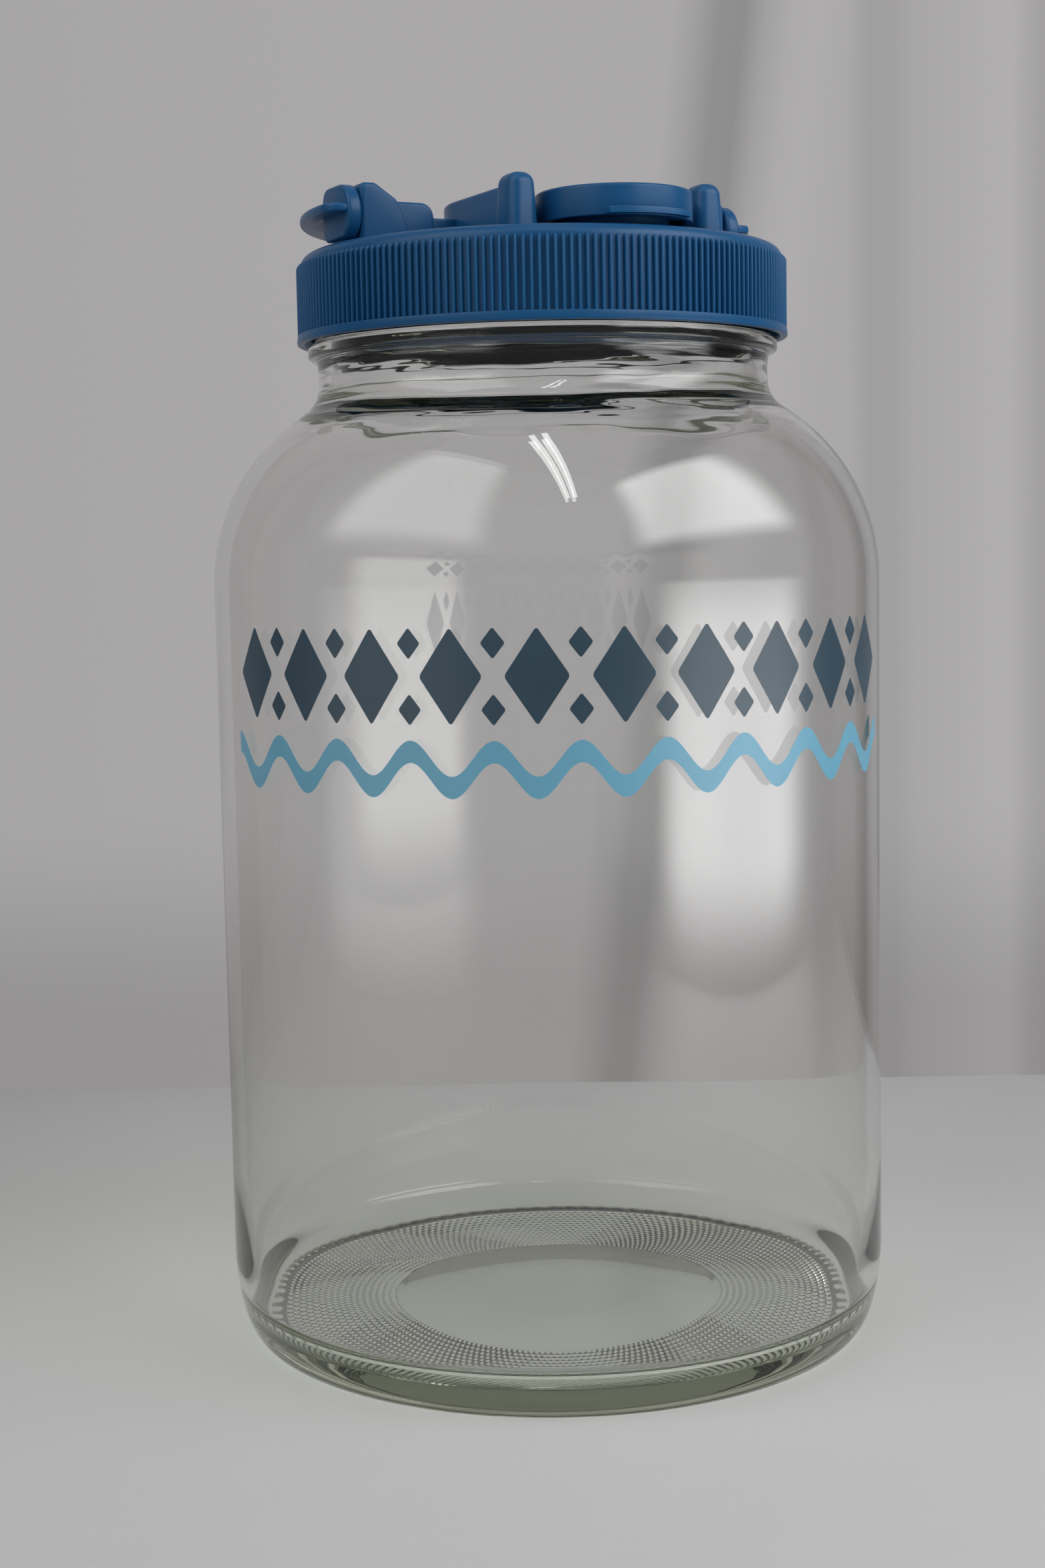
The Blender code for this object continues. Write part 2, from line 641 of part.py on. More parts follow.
def make_handle(finish):
    strap = outline_mesh("carry_handle", [strap_outline()], STRAP_THICKNESS, flat_at(strap_z))
    handle = add_part("carry_handle", strap, finish)
    soften(handle, STRAP_EDGE, 1)
    for side, label in ((-1, "left"), (1, "right")):
        middle = side * (disc_inner + disc_outer) / 2
        ear = outline_mesh(f"handle_ear_{label}", [ear_outline()], HANDLE_DISC_THICKNESS, sideways(middle))
        ear = add_shape(ear.name, ear)
        soften(ear, DISC_EDGE)
        combine(handle, ear, "UNION")
        ends = sorted((side * (pivot_x - HANDLE_PIN_LENGTH), side * (disc_inner + OVERLAP)))
        pin = cylinder_mesh(f"handle_pin_{label}", HANDLE_PIN_RADIUS, ends[0], ends[1], "X",
                            (0, pivot_z))
        combine(handle, add_shape(pin.name, pin), "UNION")
    hang_on_pivot(handle, "handle_hinge", (0, 0, pivot_z))


clear_glass = material("clear glass", (0.93, 0.95, 0.94), 0.03, transmission=1.0)
blue_plastic = material("blue polypropylene", (0.021, 0.088, 0.216), 0.38)
white_silicone = material("white silicone", (0.80, 0.80, 0.78), 0.55)

make_jar(clear_glass)
make_lid(blue_plastic)
make_gasket(white_silicone)
make_flip_cap(blue_plastic)
make_seal(white_silicone)
make_handle(blue_plastic)
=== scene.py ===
# Looks of the glass water jar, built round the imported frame.
import math

import bmesh
import bpy
from mathutils import Matrix, Vector, noise


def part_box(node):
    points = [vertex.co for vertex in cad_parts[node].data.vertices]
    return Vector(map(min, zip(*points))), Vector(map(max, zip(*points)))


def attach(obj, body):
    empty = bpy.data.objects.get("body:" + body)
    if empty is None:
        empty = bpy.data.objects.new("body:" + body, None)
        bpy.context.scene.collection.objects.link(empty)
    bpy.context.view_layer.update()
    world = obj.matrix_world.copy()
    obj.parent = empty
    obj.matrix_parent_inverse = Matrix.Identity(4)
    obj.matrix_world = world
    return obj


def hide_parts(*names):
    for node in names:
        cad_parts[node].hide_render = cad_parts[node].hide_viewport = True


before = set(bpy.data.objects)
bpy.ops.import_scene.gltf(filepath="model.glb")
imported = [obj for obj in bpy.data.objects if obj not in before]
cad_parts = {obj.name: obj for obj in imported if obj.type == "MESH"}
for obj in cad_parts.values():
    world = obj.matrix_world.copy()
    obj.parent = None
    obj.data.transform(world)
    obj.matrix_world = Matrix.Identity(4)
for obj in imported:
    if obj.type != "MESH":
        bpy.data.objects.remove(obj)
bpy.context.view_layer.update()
print("frame loaded:", ", ".join(sorted(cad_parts)))

# Every mesh is built in millimetres and goes down to metres in finishPiece.
millimetre = 0.001
# settings that many nodes share
ofColours = {"data_type": "RGBA"}
smoothly = {"interpolation_type": "SMOOTHSTEP"}
larger = {"operation": "MAXIMUM"}
product = {"operation": "MULTIPLY"}


def hexColour(text):
    # sRGB hex to the linear values that a shader wants
    values = [int(text[i:i + 2], 16) / 255 for i in (1, 3, 5)]
    return tuple(v / 12.92 if v <= 0.04045 else ((v + 0.055) / 1.055) ** 2.4 for v in values) + (1.0,)


def addNode(tree, kind, settings=None, values=None, links=None):
    node = tree.nodes.new("ShaderNode" + kind)
    for name, value in (settings or {}).items():
        setattr(node, name, value)
    for name, value in (values or {}).items():
        node.inputs[name].default_value = value
    for name, (source, output) in (links or {}).items():
        tree.links.new(source.outputs[output], node.inputs[name])
    return node


def newMaterial(name):
    made = bpy.data.materials.new(name)
    made.use_nodes = True
    tree = made.node_tree
    return made, tree, tree.nodes["Principled BSDF"], addNode(tree, "TexCoord")


def connect(tree, source, output, target, name):
    tree.links.new(source.outputs[output], target.inputs[name])


def linkObject(name, data):
    made = bpy.data.objects.new(name, data)
    bpy.context.scene.collection.objects.link(made)
    return made


def finishPiece(name, bm, material, body, replaced=None, sharpAngle=50):
    bmesh.ops.scale(bm, vec=(millimetre,) * 3, verts=bm.verts)
    mesh = bpy.data.meshes.new(name)
    bm.to_mesh(mesh)
    bm.free()
    mesh.polygons.foreach_set("use_smooth", [True] * len(mesh.polygons))
    mesh.set_sharp_from_angle(angle=math.radians(sharpAngle))
    mesh.materials.append(material)
    piece = linkObject(name, mesh)
    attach(piece, body)
    if replaced:
        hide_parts(replaced)
    triangles = sum(len(face.vertices) - 2 for face in mesh.polygons)
    print(f"{name}: {triangles} triangles")
    return piece


def arcPoints(centre, radius, start, end, steps):
    # points on an arc, with its angles in degrees
    angles = [math.radians(start + (end - start) * i / steps) for i in range(steps + 1)]
    return [(centre[0] + radius * math.cos(a), centre[1] + radius * math.sin(a)) for a in angles]


def roundedCorners(corners, closed=False, steps=6):
    # corners are (x, y, rounding), and a rounding of 0 leaves one sharp
    points = []
    for index, (x, y, rounding) in enumerate(corners):
        if rounding == 0 or (not closed and index in (0, len(corners) - 1)):
            points.append((x, y))
            continue
        corner = Vector((x, y))
        before = (Vector(corners[index - 1][:2]) - corner).normalized()
        after = (Vector(corners[(index + 1) % len(corners)][:2]) - corner).normalized()
        half = before.angle(after) / 2
        centre = corner + (before + after).normalized() * rounding / math.sin(half)
        start = corner + before * rounding / math.tan(half) - centre
        sweep = math.copysign(math.pi - 2 * half, after.cross(before))
        for step in range(steps + 1):
            points.append(tuple(centre + Matrix.Rotation(sweep * step / steps, 2) @ start))
    return points


def faceOut(bm):
    bmesh.ops.recalc_face_normals(bm, faces=bm.faces)


def spinOutline(bm, outline, steps, centre=(0, 0), closed=False):
    # turns an outline of (radius, height) all the way round an upright axis
    verts = [bm.verts.new((centre[0] + radius, centre[1], height)) for radius, height in outline]
    edges = [bm.edges.new(pair) for pair in zip(verts, verts[1:])]
    if closed:
        edges.append(bm.edges.new((verts[-1], verts[0])))
    bmesh.ops.spin(bm, geom=verts + edges, cent=(centre[0], centre[1], 0), axis=(0, 0, 1),
                   angle=2 * math.pi, steps=steps, use_merge=True)
    bmesh.ops.remove_doubles(bm, verts=bm.verts, dist=0.0005)
    faceOut(bm)


def madeItems(made, kind):
    # the verts, edges or faces among what an operator made
    return [item for item in made["geom"] if isinstance(item, kind)]


def roundEdges(bm, edges, rounding, segments):
    bmesh.ops.bevel(bm, geom=edges, offset=rounding, offset_type="OFFSET", segments=segments, profile=0.5,
                    affect="EDGES", material=-1)


def raisedOutline(bm, outline, low, high, rounding, segments):
    # an outline drawn as (x, y), raised from low to high, with a rounded top
    face = bm.faces.new([bm.verts.new((x, y, high)) for x, y in outline])
    face.normal_update()
    if face.normal.z < 0:
        face.normal_flip()
    made = bmesh.ops.extrude_face_region(bm, geom=[face])
    bmesh.ops.translate(bm, vec=(0, 0, low - high), verts=madeItems(made, bmesh.types.BMVert))
    bm.normal_update()
    roundEdges(bm, face.edges[:], rounding, segments)
    faceOut(bm)


def addPlate(bm, outline, low, thickness, rounding, segments):
    # an outline drawn at a height and thickened upwards, with all its rims rounded
    face = bm.faces.new([bm.verts.new((x, y, low)) for x, y in outline])
    made = bmesh.ops.extrude_face_region(bm, geom=[face])
    bmesh.ops.translate(bm, vec=(0, 0, thickness), verts=madeItems(made, bmesh.types.BMVert))
    faces = madeItems(made, bmesh.types.BMFace) + [face]
    roundEdges(bm, [edge for item in faces for edge in item.edges], rounding, segments)


def joinPart(bm, part):
    # moves a finished part into the mesh of its piece
    mesh = bpy.data.meshes.new("part")
    part.to_mesh(mesh)
    part.free()
    bm.from_mesh(mesh)
    bpy.data.meshes.remove(mesh)


def moveOut(vert, reach, grow):
    # moves a vert away from the upright axis
    vert.co.x *= (reach + grow) / reach
    vert.co.y *= (reach + grow) / reach


def threadGrowth(piece, vert, turn, low):
    # how far a piece's one-start thread stands out at a vert; it fades at both its ends
    grow = 0.0
    for lap in (turn, turn + 1, turn + 2):
        if lap <= piece["threadTurns"]:
            off = abs(vert.co.z - low - piece["threadPitch"] * lap) / (piece["threadWidth"] / 2)
            fade = min(1, lap / piece["threadFade"], (piece["threadTurns"] - lap) / piece["threadFade"])
            grow = max(grow, piece["threadDepth"] * fade * max(0, 1 - off ** 2))
    return grow


def newBox(bm, low, high):
    made = bmesh.ops.create_cube(bm, size=1)
    size = Vector(high) - Vector(low)
    bmesh.ops.scale(bm, vec=size, verts=made["verts"])
    bmesh.ops.translate(bm, vec=(Vector(low) + Vector(high)) / 2, verts=made["verts"])
    return made["verts"]


def newCylinder(bm, radius, length, segments):
    return bmesh.ops.create_cone(bm, cap_ends=True, segments=segments, radius1=radius, radius2=radius,
                                 depth=length)["verts"]


def bendRound(bm, radius, middle, lift):
    # wraps flat shapes, drawn as (along, height), round an upright cylinder
    for vert in bm.verts:
        angle = math.radians(middle) + vert.co.x / radius
        reach = radius + lift + vert.co.z
        vert.co = (reach * math.cos(angle), reach * math.sin(angle), vert.co.y)


# Materials


def makeClearGlass():
    # Soda-lime glass, blown in a mould: clear and glossy, slightly green where it is thick,
    # with slow waves in the wall and quicker ones round the neck.
    look = dict(tint="#ffffff", ior=1.52, roughness=0.0, thickTint="#c6ccb0", thickDensity=10.0,
                lampTint="#f6f8f5", neckShadeTint="#2b3237", neckFrom=206.0, neckTo=216.0, neckWave=0.45,
                wallWave=0.16, turns=4.5, caughtShadeTint="#b8bbaf")
    material, tree, shader, place = newMaterial("soda-lime glass, blown in a mould")
    output = tree.nodes["Material Output"]
    shader.inputs["Base Color"].default_value = hexColour(look["tint"])
    shader.inputs["Roughness"].default_value = look["roughness"]
    shader.inputs["IOR"].default_value = look["ior"]
    shader.inputs["Transmission Weight"].default_value = 1.0

    toMillimetres = addNode(tree, "VectorMath", {"operation": "SCALE"}, {"Scale": 1000.0},
                            {0: (place, "Object")})
    split = addNode(tree, "SeparateXYZ", links={0: (toMillimetres, 0)})
    # waves round the neck, long across and short up and down
    neckPlace = addNode(tree, "Mapping", {"vector_type": "POINT"}, {"Scale": (0.022, 0.022, 0.20)},
                        {"Vector": (toMillimetres, 0)})
    neckNoise = addNode(tree, "TexNoise", {}, {"Scale": 1.0, "Detail": 2.0, "Roughness": 0.55},
                        {"Vector": (neckPlace, 0)})
    neckZone = addNode(tree, "MapRange", smoothly, {"From Min": look["neckFrom"], "From Max": look["neckTo"]},
                       {"Value": (split, "Z")})
    neckWave = addNode(tree, "Math", product, links={0: (neckNoise, "Fac"), 1: (neckZone, 0)})
    height = addNode(tree, "Math", product, {1: look["neckWave"]}, {0: (neckWave, 0)})

    # slow upright waves in the wall, as the glass ran in the mould
    wallPlace = addNode(tree, "Mapping", {"vector_type": "POINT"}, {"Scale": (0.035, 0.035, 0.006)},
                        {"Vector": (toMillimetres, 0)})
    wallNoise = addNode(tree, "TexNoise", {}, {"Scale": 1.0, "Detail": 1.0, "Roughness": 0.4},
                        {"Vector": (wallPlace, 0)})
    height = addNode(tree, "Math", {"operation": "MULTIPLY_ADD"}, {1: look["wallWave"]},
                     {0: (wallNoise, "Fac"), 2: (height, 0)})
    bump = addNode(tree, "Bump", {}, {"Strength": 1.0, "Distance": 0.001}, {"Height": (height, 0)})
    connect(tree, bump, "Normal", shader, "Normal")

    # lamps shine through, so that the inside and the floor behind are lit as they are in the room
    rays = addNode(tree, "LightPath")
    # through the neck the lamps' light is darkened by a painted grey, which paints shade inside the lid
    passed = addNode(tree, "Mix", ofColours, {6: hexColour(look["lampTint"]), 7: hexColour(look["neckShadeTint"])},
                     {0: (neckZone, 0)})
    # light that is caught inside thick glass gets out of it after a few turns, and dimmer: partly lost on its
    # way, partly a painted grey that paints shade along the base's rim
    caught = addNode(tree, "Math", {"operation": "GREATER_THAN"}, {1: look["turns"]},
                     {0: (rays, "Ray Depth")})
    lit = addNode(tree, "Math", larger, links={0: (rays, "Is Shadow Ray"), 1: (rays, "Is Diffuse Ray")})
    dimmed = addNode(tree, "Math", {"operation": "SUBTRACT", "use_clamp": True},
                     links={0: (caught, 0), 1: (lit, 0)})
    passed = addNode(tree, "Mix", ofColours, {7: hexColour(look["caughtShadeTint"])},
                     {0: (dimmed, 0), 6: (passed, 2)})
    clear = addNode(tree, "BsdfTransparent", links={"Color": (passed, 2)})
    through = addNode(tree, "Math", larger, links={0: (rays, "Is Shadow Ray"), 1: (caught, 0)})
    surface = addNode(tree, "MixShader", links={0: (through, 0), 1: (shader, "BSDF"), 2: (clear, "BSDF")})
    connect(tree, surface, 0, output, "Surface")
    # iron in the glass tints what is seen through a long way of it
    thick = addNode(tree, "VolumeAbsorption", {}, {"Color": hexColour(look["thickTint"]),
                                                   "Density": look["thickDensity"]})
    connect(tree, thick, 0, output, "Volume")
    return material


def makeBluePlastic():
    # Polypropylene, injection moulded and pigmented: satin, with a faint mould grain, and paler on
    # sharp edges, which is partly rubbed wear and partly a painted sheen.
    look = dict(colour="#14517f", wearAndSheenTone="#1e6194", deeper="#114974", roughness=0.34, gloss=0.27, grain=0.35,
                grainDepth=0.012, cloud=22.0, smoother=0.06, rougher=0.08)
    material, tree, shader, place = newMaterial("polypropylene, injection moulded")
    toMillimetres = addNode(tree, "VectorMath", {"operation": "SCALE"}, {"Scale": 1000.0},
                            {0: (place, "Object")})
    cloud = addNode(tree, "TexNoise", {}, {"Scale": 1 / look["cloud"], "Detail": 3.0, "Roughness": 0.6},
                    {"Vector": (toMillimetres, 0)})
    tone = addNode(tree, "Mix", ofColours, {6: hexColour(look["deeper"]), 7: hexColour(look["colour"])},
                   {0: (cloud, "Fac")})
    # paler colour on sharp edges: partly rubbed wear, partly a painted sheen
    edges = addNode(tree, "NewGeometry")
    wearAndSheenEdges = addNode(tree, "MapRange", {}, {"From Min": 0.53, "From Max": 0.62, "To Max": 0.3},
                     {"Value": (edges, "Pointiness")})
    colour = addNode(tree, "Mix", ofColours, {7: hexColour(look["wearAndSheenTone"])}, {0: (wearAndSheenEdges, 0), 6: (tone, 2)})
    connect(tree, colour, 2, shader, "Base Color")
    shader.inputs["Specular IOR Level"].default_value = look["gloss"]
    # mould grain, about a third of a millimetre across
    grain = addNode(tree, "TexNoise", {}, {"Scale": 1 / look["grain"], "Detail": 2.0, "Roughness": 0.5},
                    {"Vector": (toMillimetres, 0)})
    gloss = addNode(tree, "MapRange", {}, {"To Min": look["roughness"] - look["smoother"],
                                           "To Max": look["roughness"] + look["rougher"]},
                    {"Value": (cloud, "Fac")})
    connect(tree, gloss, 0, shader, "Roughness")
    bump = addNode(tree, "Bump", {}, {"Strength": 0.6, "Distance": look["grainDepth"] * millimetre},
                   {"Height": (grain, "Fac")})
    connect(tree, bump, "Normal", shader, "Normal")
    return material


def makeSilicone():
    # Silicone rubber, compression moulded: milky white, matt and a little soft to light.
    look = dict(colour="#e4e4df", shade="#d8d8d2", roughness=0.55, grain=0.5)
    material, tree, shader, place = newMaterial("silicone rubber, compression moulded")
    grain = addNode(tree, "TexNoise", {}, {"Scale": 1000 / look["grain"], "Detail": 2.0},
                    {"Vector": (place, "Object")})
    colour = addNode(tree, "Mix", ofColours, {6: hexColour(look["shade"]), 7: hexColour(look["colour"])},
                     {0: (grain, "Fac")})
    connect(tree, colour, 2, shader, "Base Color")
    shader.inputs["Roughness"].default_value = look["roughness"]
    shader.inputs["Subsurface Weight"].default_value = 0.1
    shader.inputs["Subsurface Radius"].default_value = (0.002, 0.002, 0.002)
    bump = addNode(tree, "Bump", {}, {"Strength": 0.4, "Distance": 0.00002}, {"Height": (grain, "Fac")})
    connect(tree, bump, "Normal", shader, "Normal")
    return material


def makeInk(name, colour, second):
    # Ceramic ink, screen printed and fired: opaque and smooth, with the screen's fine unevenness.
    material, tree, shader, place = newMaterial(name)
    cloud = addNode(tree, "TexNoise", {}, {"Scale": 45.0, "Detail": 4.0, "Roughness": 0.6},
                    {"Vector": (place, "Object")})
    tone = addNode(tree, "Mix", ofColours, {6: hexColour(colour), 7: hexColour(second)}, {0: (cloud, "Fac")})
    connect(tree, tone, 2, shader, "Base Color")
    shader.inputs["Roughness"].default_value = 0.32
    screen = addNode(tree, "TexNoise", {}, {"Scale": 2500.0, "Detail": 1.0}, {"Vector": (place, "Object")})
    bump = addNode(tree, "Bump", {}, {"Strength": 0.25, "Distance": 0.00002}, {"Height": (screen, "Fac")})
    connect(tree, bump, "Normal", shader, "Normal")
    return material


clearGlass = makeClearGlass()
bluePlastic = makeBluePlastic()
silicone = makeSilicone()
navyInk = makeInk("ceramic ink, navy, screen printed", "#2b3f4d", "#3b5362")
skyInk = makeInk("ceramic ink, light blue, screen printed", "#5c9cb8", "#78b4cc")
print("materials made")


# Glass jar

jar = dict(bodyRadius=77.5, wall=3.2, sideTop=175.5, wallRings=(40, 80, 130), shoulderRadius=46.5,
           heelHeight=21.0, heelDepth=6.0, standWidth=2.4, standRings=(0.8, 1.6), standEdge=(0.4, 0.5),
           baseThickness=2.9, baseRecess=1.0, panelRadius=37.8, panelRise=1.3, panelSlope=0.8,
           panelFoot=(0.4, 0.1), panelCrown=[(18, 0.2), (0, 0.3)],
           floorCrown=[(0, 0.5), (18, 0.4), (32, 0.1)], bowlReach=32.0, bowlHeight=8.5, stippleFrom=39.6,
           stippleRow=1.65, stippleRows=17, stippleDepth=0.9, neckRadius=52.1, neckFillet=8.0,
           neckLength=5.8, waistDepth=0.9, waistHeight=3.6, mouthRadius=49.3, mouthRing=1.5, mouthRings=10,
           beadHeight=3.2, beadRounding=0.9, finishRadius=52.9, finishRing=0.6, finishTop=2.6, crest=54.4,
           rimRounding=1.0, rimDepth=3.0, threadPitch=5.08, threadTurns=1.25, threadWidth=2.2,
           threadDepth=1.5, threadFade=0.06, threadBelowRim=3.2, bearingBumps=100, bearingDepth=0.45,
           steps=400)
# the inside of the neck: waves that even out towards the mouth, and a thick ridge that winds up and down
neckInside = dict(below=9, waveAcross=0.05, waveUp=0.16, wave=0.3, waveLost=0.2, evenFrom=216, evenOver=6,
                  ridgeHeight=214.8, ridgeReach=1.9, ridgeBelow=1.6, ridgeAbove=2.6, ridgeAcross=0.022,
                  ridgeSeed=3.0, ridgeSwing=2.2, ridgeRipple=0.5)
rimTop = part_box("glass_jar")[1].z / millimetre


def neckJoin(shoulder, neck, fillet):
    # the angle where the shoulder's arc meets the neck's fillet, and the fillet's centre
    side = neck + fillet - (jar["bodyRadius"] - jar["shoulderRadius"])
    rise = math.sqrt((shoulder + fillet) ** 2 - side ** 2)
    return math.degrees(math.atan2(rise, side)), (neck + fillet, jar["sideTop"] + rise)


def jarOutline():
    shoulderMiddle = (jar["bodyRadius"] - jar["shoulderRadius"], jar["sideTop"])
    floor = jar["baseRecess"] + jar["baseThickness"]
    innerWall = jar["bodyRadius"] - jar["wall"]
    innerAngle, innerFillet = neckJoin(jar["shoulderRadius"] - jar["wall"], jar["mouthRadius"],
                                       jar["neckFillet"] + jar["wall"])
    outerAngle, outerFillet = neckJoin(jar["shoulderRadius"], jar["neckRadius"], jar["neckFillet"])
    neckBottom = outerFillet[1]
    beadBottom = neckBottom + jar["neckLength"]
    beadTop = beadBottom + jar["beadHeight"]

    # up the inside, from the middle of the floor to the mouth
    inside = [(x, floor + rise) for x, rise in jar["floorCrown"]]
    for x, y in arcPoints((0, 0), 1, -90, 0, 16):
        inside.append((innerWall - jar["bowlReach"] * (1 - x), floor + jar["bowlHeight"] * (1 + y)))
    inside += [(innerWall, height) for height in jar["wallRings"]]
    inside += arcPoints(shoulderMiddle, jar["shoulderRadius"] - jar["wall"], 0, innerAngle, 24)
    inside += arcPoints(innerFillet, jar["neckFillet"] + jar["wall"], 180 + innerAngle, 180, 20)[1:]
    inside += [(jar["mouthRadius"], innerFillet[1] + jar["mouthRing"] * (step + 1))
               for step in range(jar["mouthRings"])]

    # over the rim, down the finish and round the bead
    rounding = jar["rimRounding"]
    rim = roundedCorners([(jar["mouthRadius"], rimTop - jar["rimDepth"], 0),
                          (jar["mouthRadius"], rimTop, rounding), (jar["finishRadius"], rimTop, rounding),
                          (jar["finishRadius"], rimTop - 2, 0)], steps=4)
    finish = []
    height = rimTop - jar["finishTop"]
    while height > beadTop + jar["beadRounding"] + 0.3:
        finish.append((jar["finishRadius"], height))
        height -= jar["finishRing"]
    bead = roundedCorners([(jar["finishRadius"], beadTop + jar["beadRounding"], 0),
                           (jar["finishRadius"], beadTop, 0.35), (jar["crest"], beadTop, jar["beadRounding"]),
                           (jar["crest"], beadBottom, jar["beadRounding"]),
                           (jar["neckRadius"] + jar["waistDepth"], beadBottom, 0)], steps=4)
    # under the bead the glass draws in to the neck in a hollow curve
    for x, y in arcPoints((0, 0), 1, 90, 0, 8)[1:]:
        bead.append((jar["neckRadius"] + jar["waistDepth"] * (1 - x),
                     beadBottom - jar["waistHeight"] * (1 - y)))

    # down the outside to the standing ring, then across the underside
    outside = arcPoints(outerFillet, jar["neckFillet"], 180, 180 + outerAngle, 10)
    outside += arcPoints(shoulderMiddle, jar["shoulderRadius"], outerAngle, 0, 28)[1:]
    outside += [(jar["bodyRadius"], height) for height in reversed(jar["wallRings"])]
    heel = jar["bodyRadius"] - jar["heelDepth"]
    for x, y in arcPoints((0, 0), 1, 0, -90, 14):
        outside.append((heel + jar["heelDepth"] * x, jar["heelHeight"] * (1 + y)))
    ringInner = heel - jar["standWidth"]
    outside += [(heel - share, 0) for share in jar["standRings"]]
    outside += [(ringInner, 0), (ringInner - jar["standEdge"][0], jar["standEdge"][1]),
                (ringInner - jar["baseRecess"], jar["baseRecess"])]
    # half a row apart: the crests of the stipple and the flats between them
    for half in range(2 * jar["stippleRows"], -1, -1):
        outside.append((jar["stippleFrom"] + half * jar["stippleRow"] / 2, jar["baseRecess"]))
    panelFoot = jar["panelRadius"] + jar["panelFoot"][0]
    outside += [(panelFoot, jar["baseRecess"] + jar["panelFoot"][1]),
                (panelFoot - jar["panelSlope"], jar["panelRise"])]
    outside += [(x, jar["panelRise"] + rise) for x, rise in jar["panelCrown"]]
    return inside + rim + finish + bead + outside


def outerRadius(height):
    # how far out the glass reaches at a height on the shoulder or the neck
    over = height - jar["sideTop"]
    across = math.sqrt(max(0, jar["shoulderRadius"] ** 2 - over ** 2))
    return max(jar["bodyRadius"] - jar["shoulderRadius"] + across, jar["neckRadius"])


def neckUnevenness(place):
    # the inside of the neck was blown free of the mould
    inside = neckInside
    waveAcross, ridgeAcross = inside["waveAcross"], inside["ridgeAcross"]
    quick = Vector((place.x * waveAcross, place.y * waveAcross, place.z * inside["waveUp"]))
    slow = Vector((place.x * ridgeAcross, place.y * ridgeAcross, inside["ridgeSeed"]))
    ridge = (place.z - inside["ridgeHeight"] - inside["ridgeSwing"] * noise.noise(slow)
             - inside["ridgeRipple"] * noise.noise(4 * slow))
    ridge /= inside["ridgeBelow"] if ridge < 0 else inside["ridgeAbove"]
    even = min(1, max(0, (place.z - inside["evenFrom"]) / inside["evenOver"]))
    waves = (inside["wave"] - inside["waveLost"] * even) * noise.noise(quick)
    return waves - inside["ridgeReach"] * math.exp(-ridge ** 2)


def makeJar():
    bm = bmesh.new()
    spinOutline(bm, jarOutline(), jar["steps"])
    neckLow = neckInside["ridgeHeight"] - neckInside["below"]
    threadLow = rimTop - jar["threadBelowRim"] - jar["threadPitch"] * jar["threadTurns"]
    for vert in bm.verts:
        reach = math.hypot(vert.co.x, vert.co.y)
        if reach < 1:
            continue
        turn = math.atan2(vert.co.y, vert.co.x) / (2 * math.pi) % 1
        grow = 0.0
        if abs(reach - jar["finishRadius"]) < 0.01 and vert.co.z < rimTop - 1:
            grow = threadGrowth(jar, vert, turn, threadLow)
        elif neckLow < vert.co.z < rimTop - jar["rimDepth"] and reach < outerRadius(vert.co.z) - 1.5:
            grow = neckUnevenness(vert.co)
        if grow:
            moveOut(vert, reach, grow)
        heel = jar["bodyRadius"] - jar["heelDepth"]
        row = (reach - jar["stippleFrom"]) / jar["stippleRow"] - 0.5
        if abs(vert.co.z - jar["baseRecess"]) < 0.01 and -0.01 < row < jar["stippleRows"] - 0.4:
            # the stipple: every other point of a crest row stands down, staggered from row to row
            if abs(row - round(row)) < 0.02 and (round(turn * jar["steps"]) + round(row)) % 2:
                vert.co.z -= jar["stippleDepth"]
        if vert.co.z < 0.01 and heel - jar["standWidth"] - 0.1 < reach < heel + 0.1:
            # the standing ring is a row of small rounded bumps
            wave = math.cos(2 * math.pi * turn * jar["bearingBumps"])
            vert.co.z += jar["bearingDepth"] * (0.5 - 0.5 * wave)
    piece = finishPiece("jar_glass", bm, clearGlass, "jar", "glass_jar", 60)
    # the stipple keeps its facets, which catch the light like the real dots
    outermost = jar["stippleFrom"] + jar["stippleRow"] * jar["stippleRows"]
    for face in piece.data.polygons:
        centre = face.center / millimetre
        if centre.z < jar["baseRecess"] and math.hypot(centre.x, centre.y) < outermost + 0.1:
            face.use_smooth = False


makeJar()

printing = dict(middle=-113.0, lift=0.03, thickness=0.05, along=180.0, strip=1.5, motifs=10,
                navyLow=147.6, navyHigh=167.8, lozengeWidth=13.6, lozengeRounding=0.8, smallWidth=5.2,
                smallHeight=6.6, smallRounding=0.5, waveLow=132.6, waveHigh=144.6, waveStroke=4.6)


def cutAlong(bm):
    # cuts flat shapes into narrow strips, so that they bend smoothly
    for index in range(1, int(printing["along"] / printing["strip"])):
        bmesh.ops.bisect_plane(bm, geom=bm.verts[:] + bm.edges[:] + bm.faces[:], dist=0.0001,
                               plane_co=(index * printing["strip"] - printing["along"] / 2, 0, 0),
                               plane_no=(1, 0, 0))


def addLozenge(bm, x, y, width, height, rounding):
    before = set(bm.verts)
    made = bmesh.ops.create_circle(bm, cap_ends=True, segments=4, radius=1)
    bmesh.ops.scale(bm, vec=(width / 2, height / 2, 1), verts=made["verts"])
    bmesh.ops.bevel(bm, geom=made["verts"], offset=rounding, offset_type="OFFSET", segments=4, profile=0.5,
                    affect="VERTICES", material=-1)
    fresh = [vert for vert in bm.verts if vert not in before]
    bmesh.ops.translate(bm, vec=(x, y, 0), verts=fresh)


def finishPrint(name, bm, ink):
    bmesh.ops.solidify(bm, geom=bm.faces[:], thickness=printing["thickness"])
    faceOut(bm)
    bendRound(bm, jar["bodyRadius"], printing["middle"], printing["lift"])
    finishPiece(name, bm, ink, "jar")


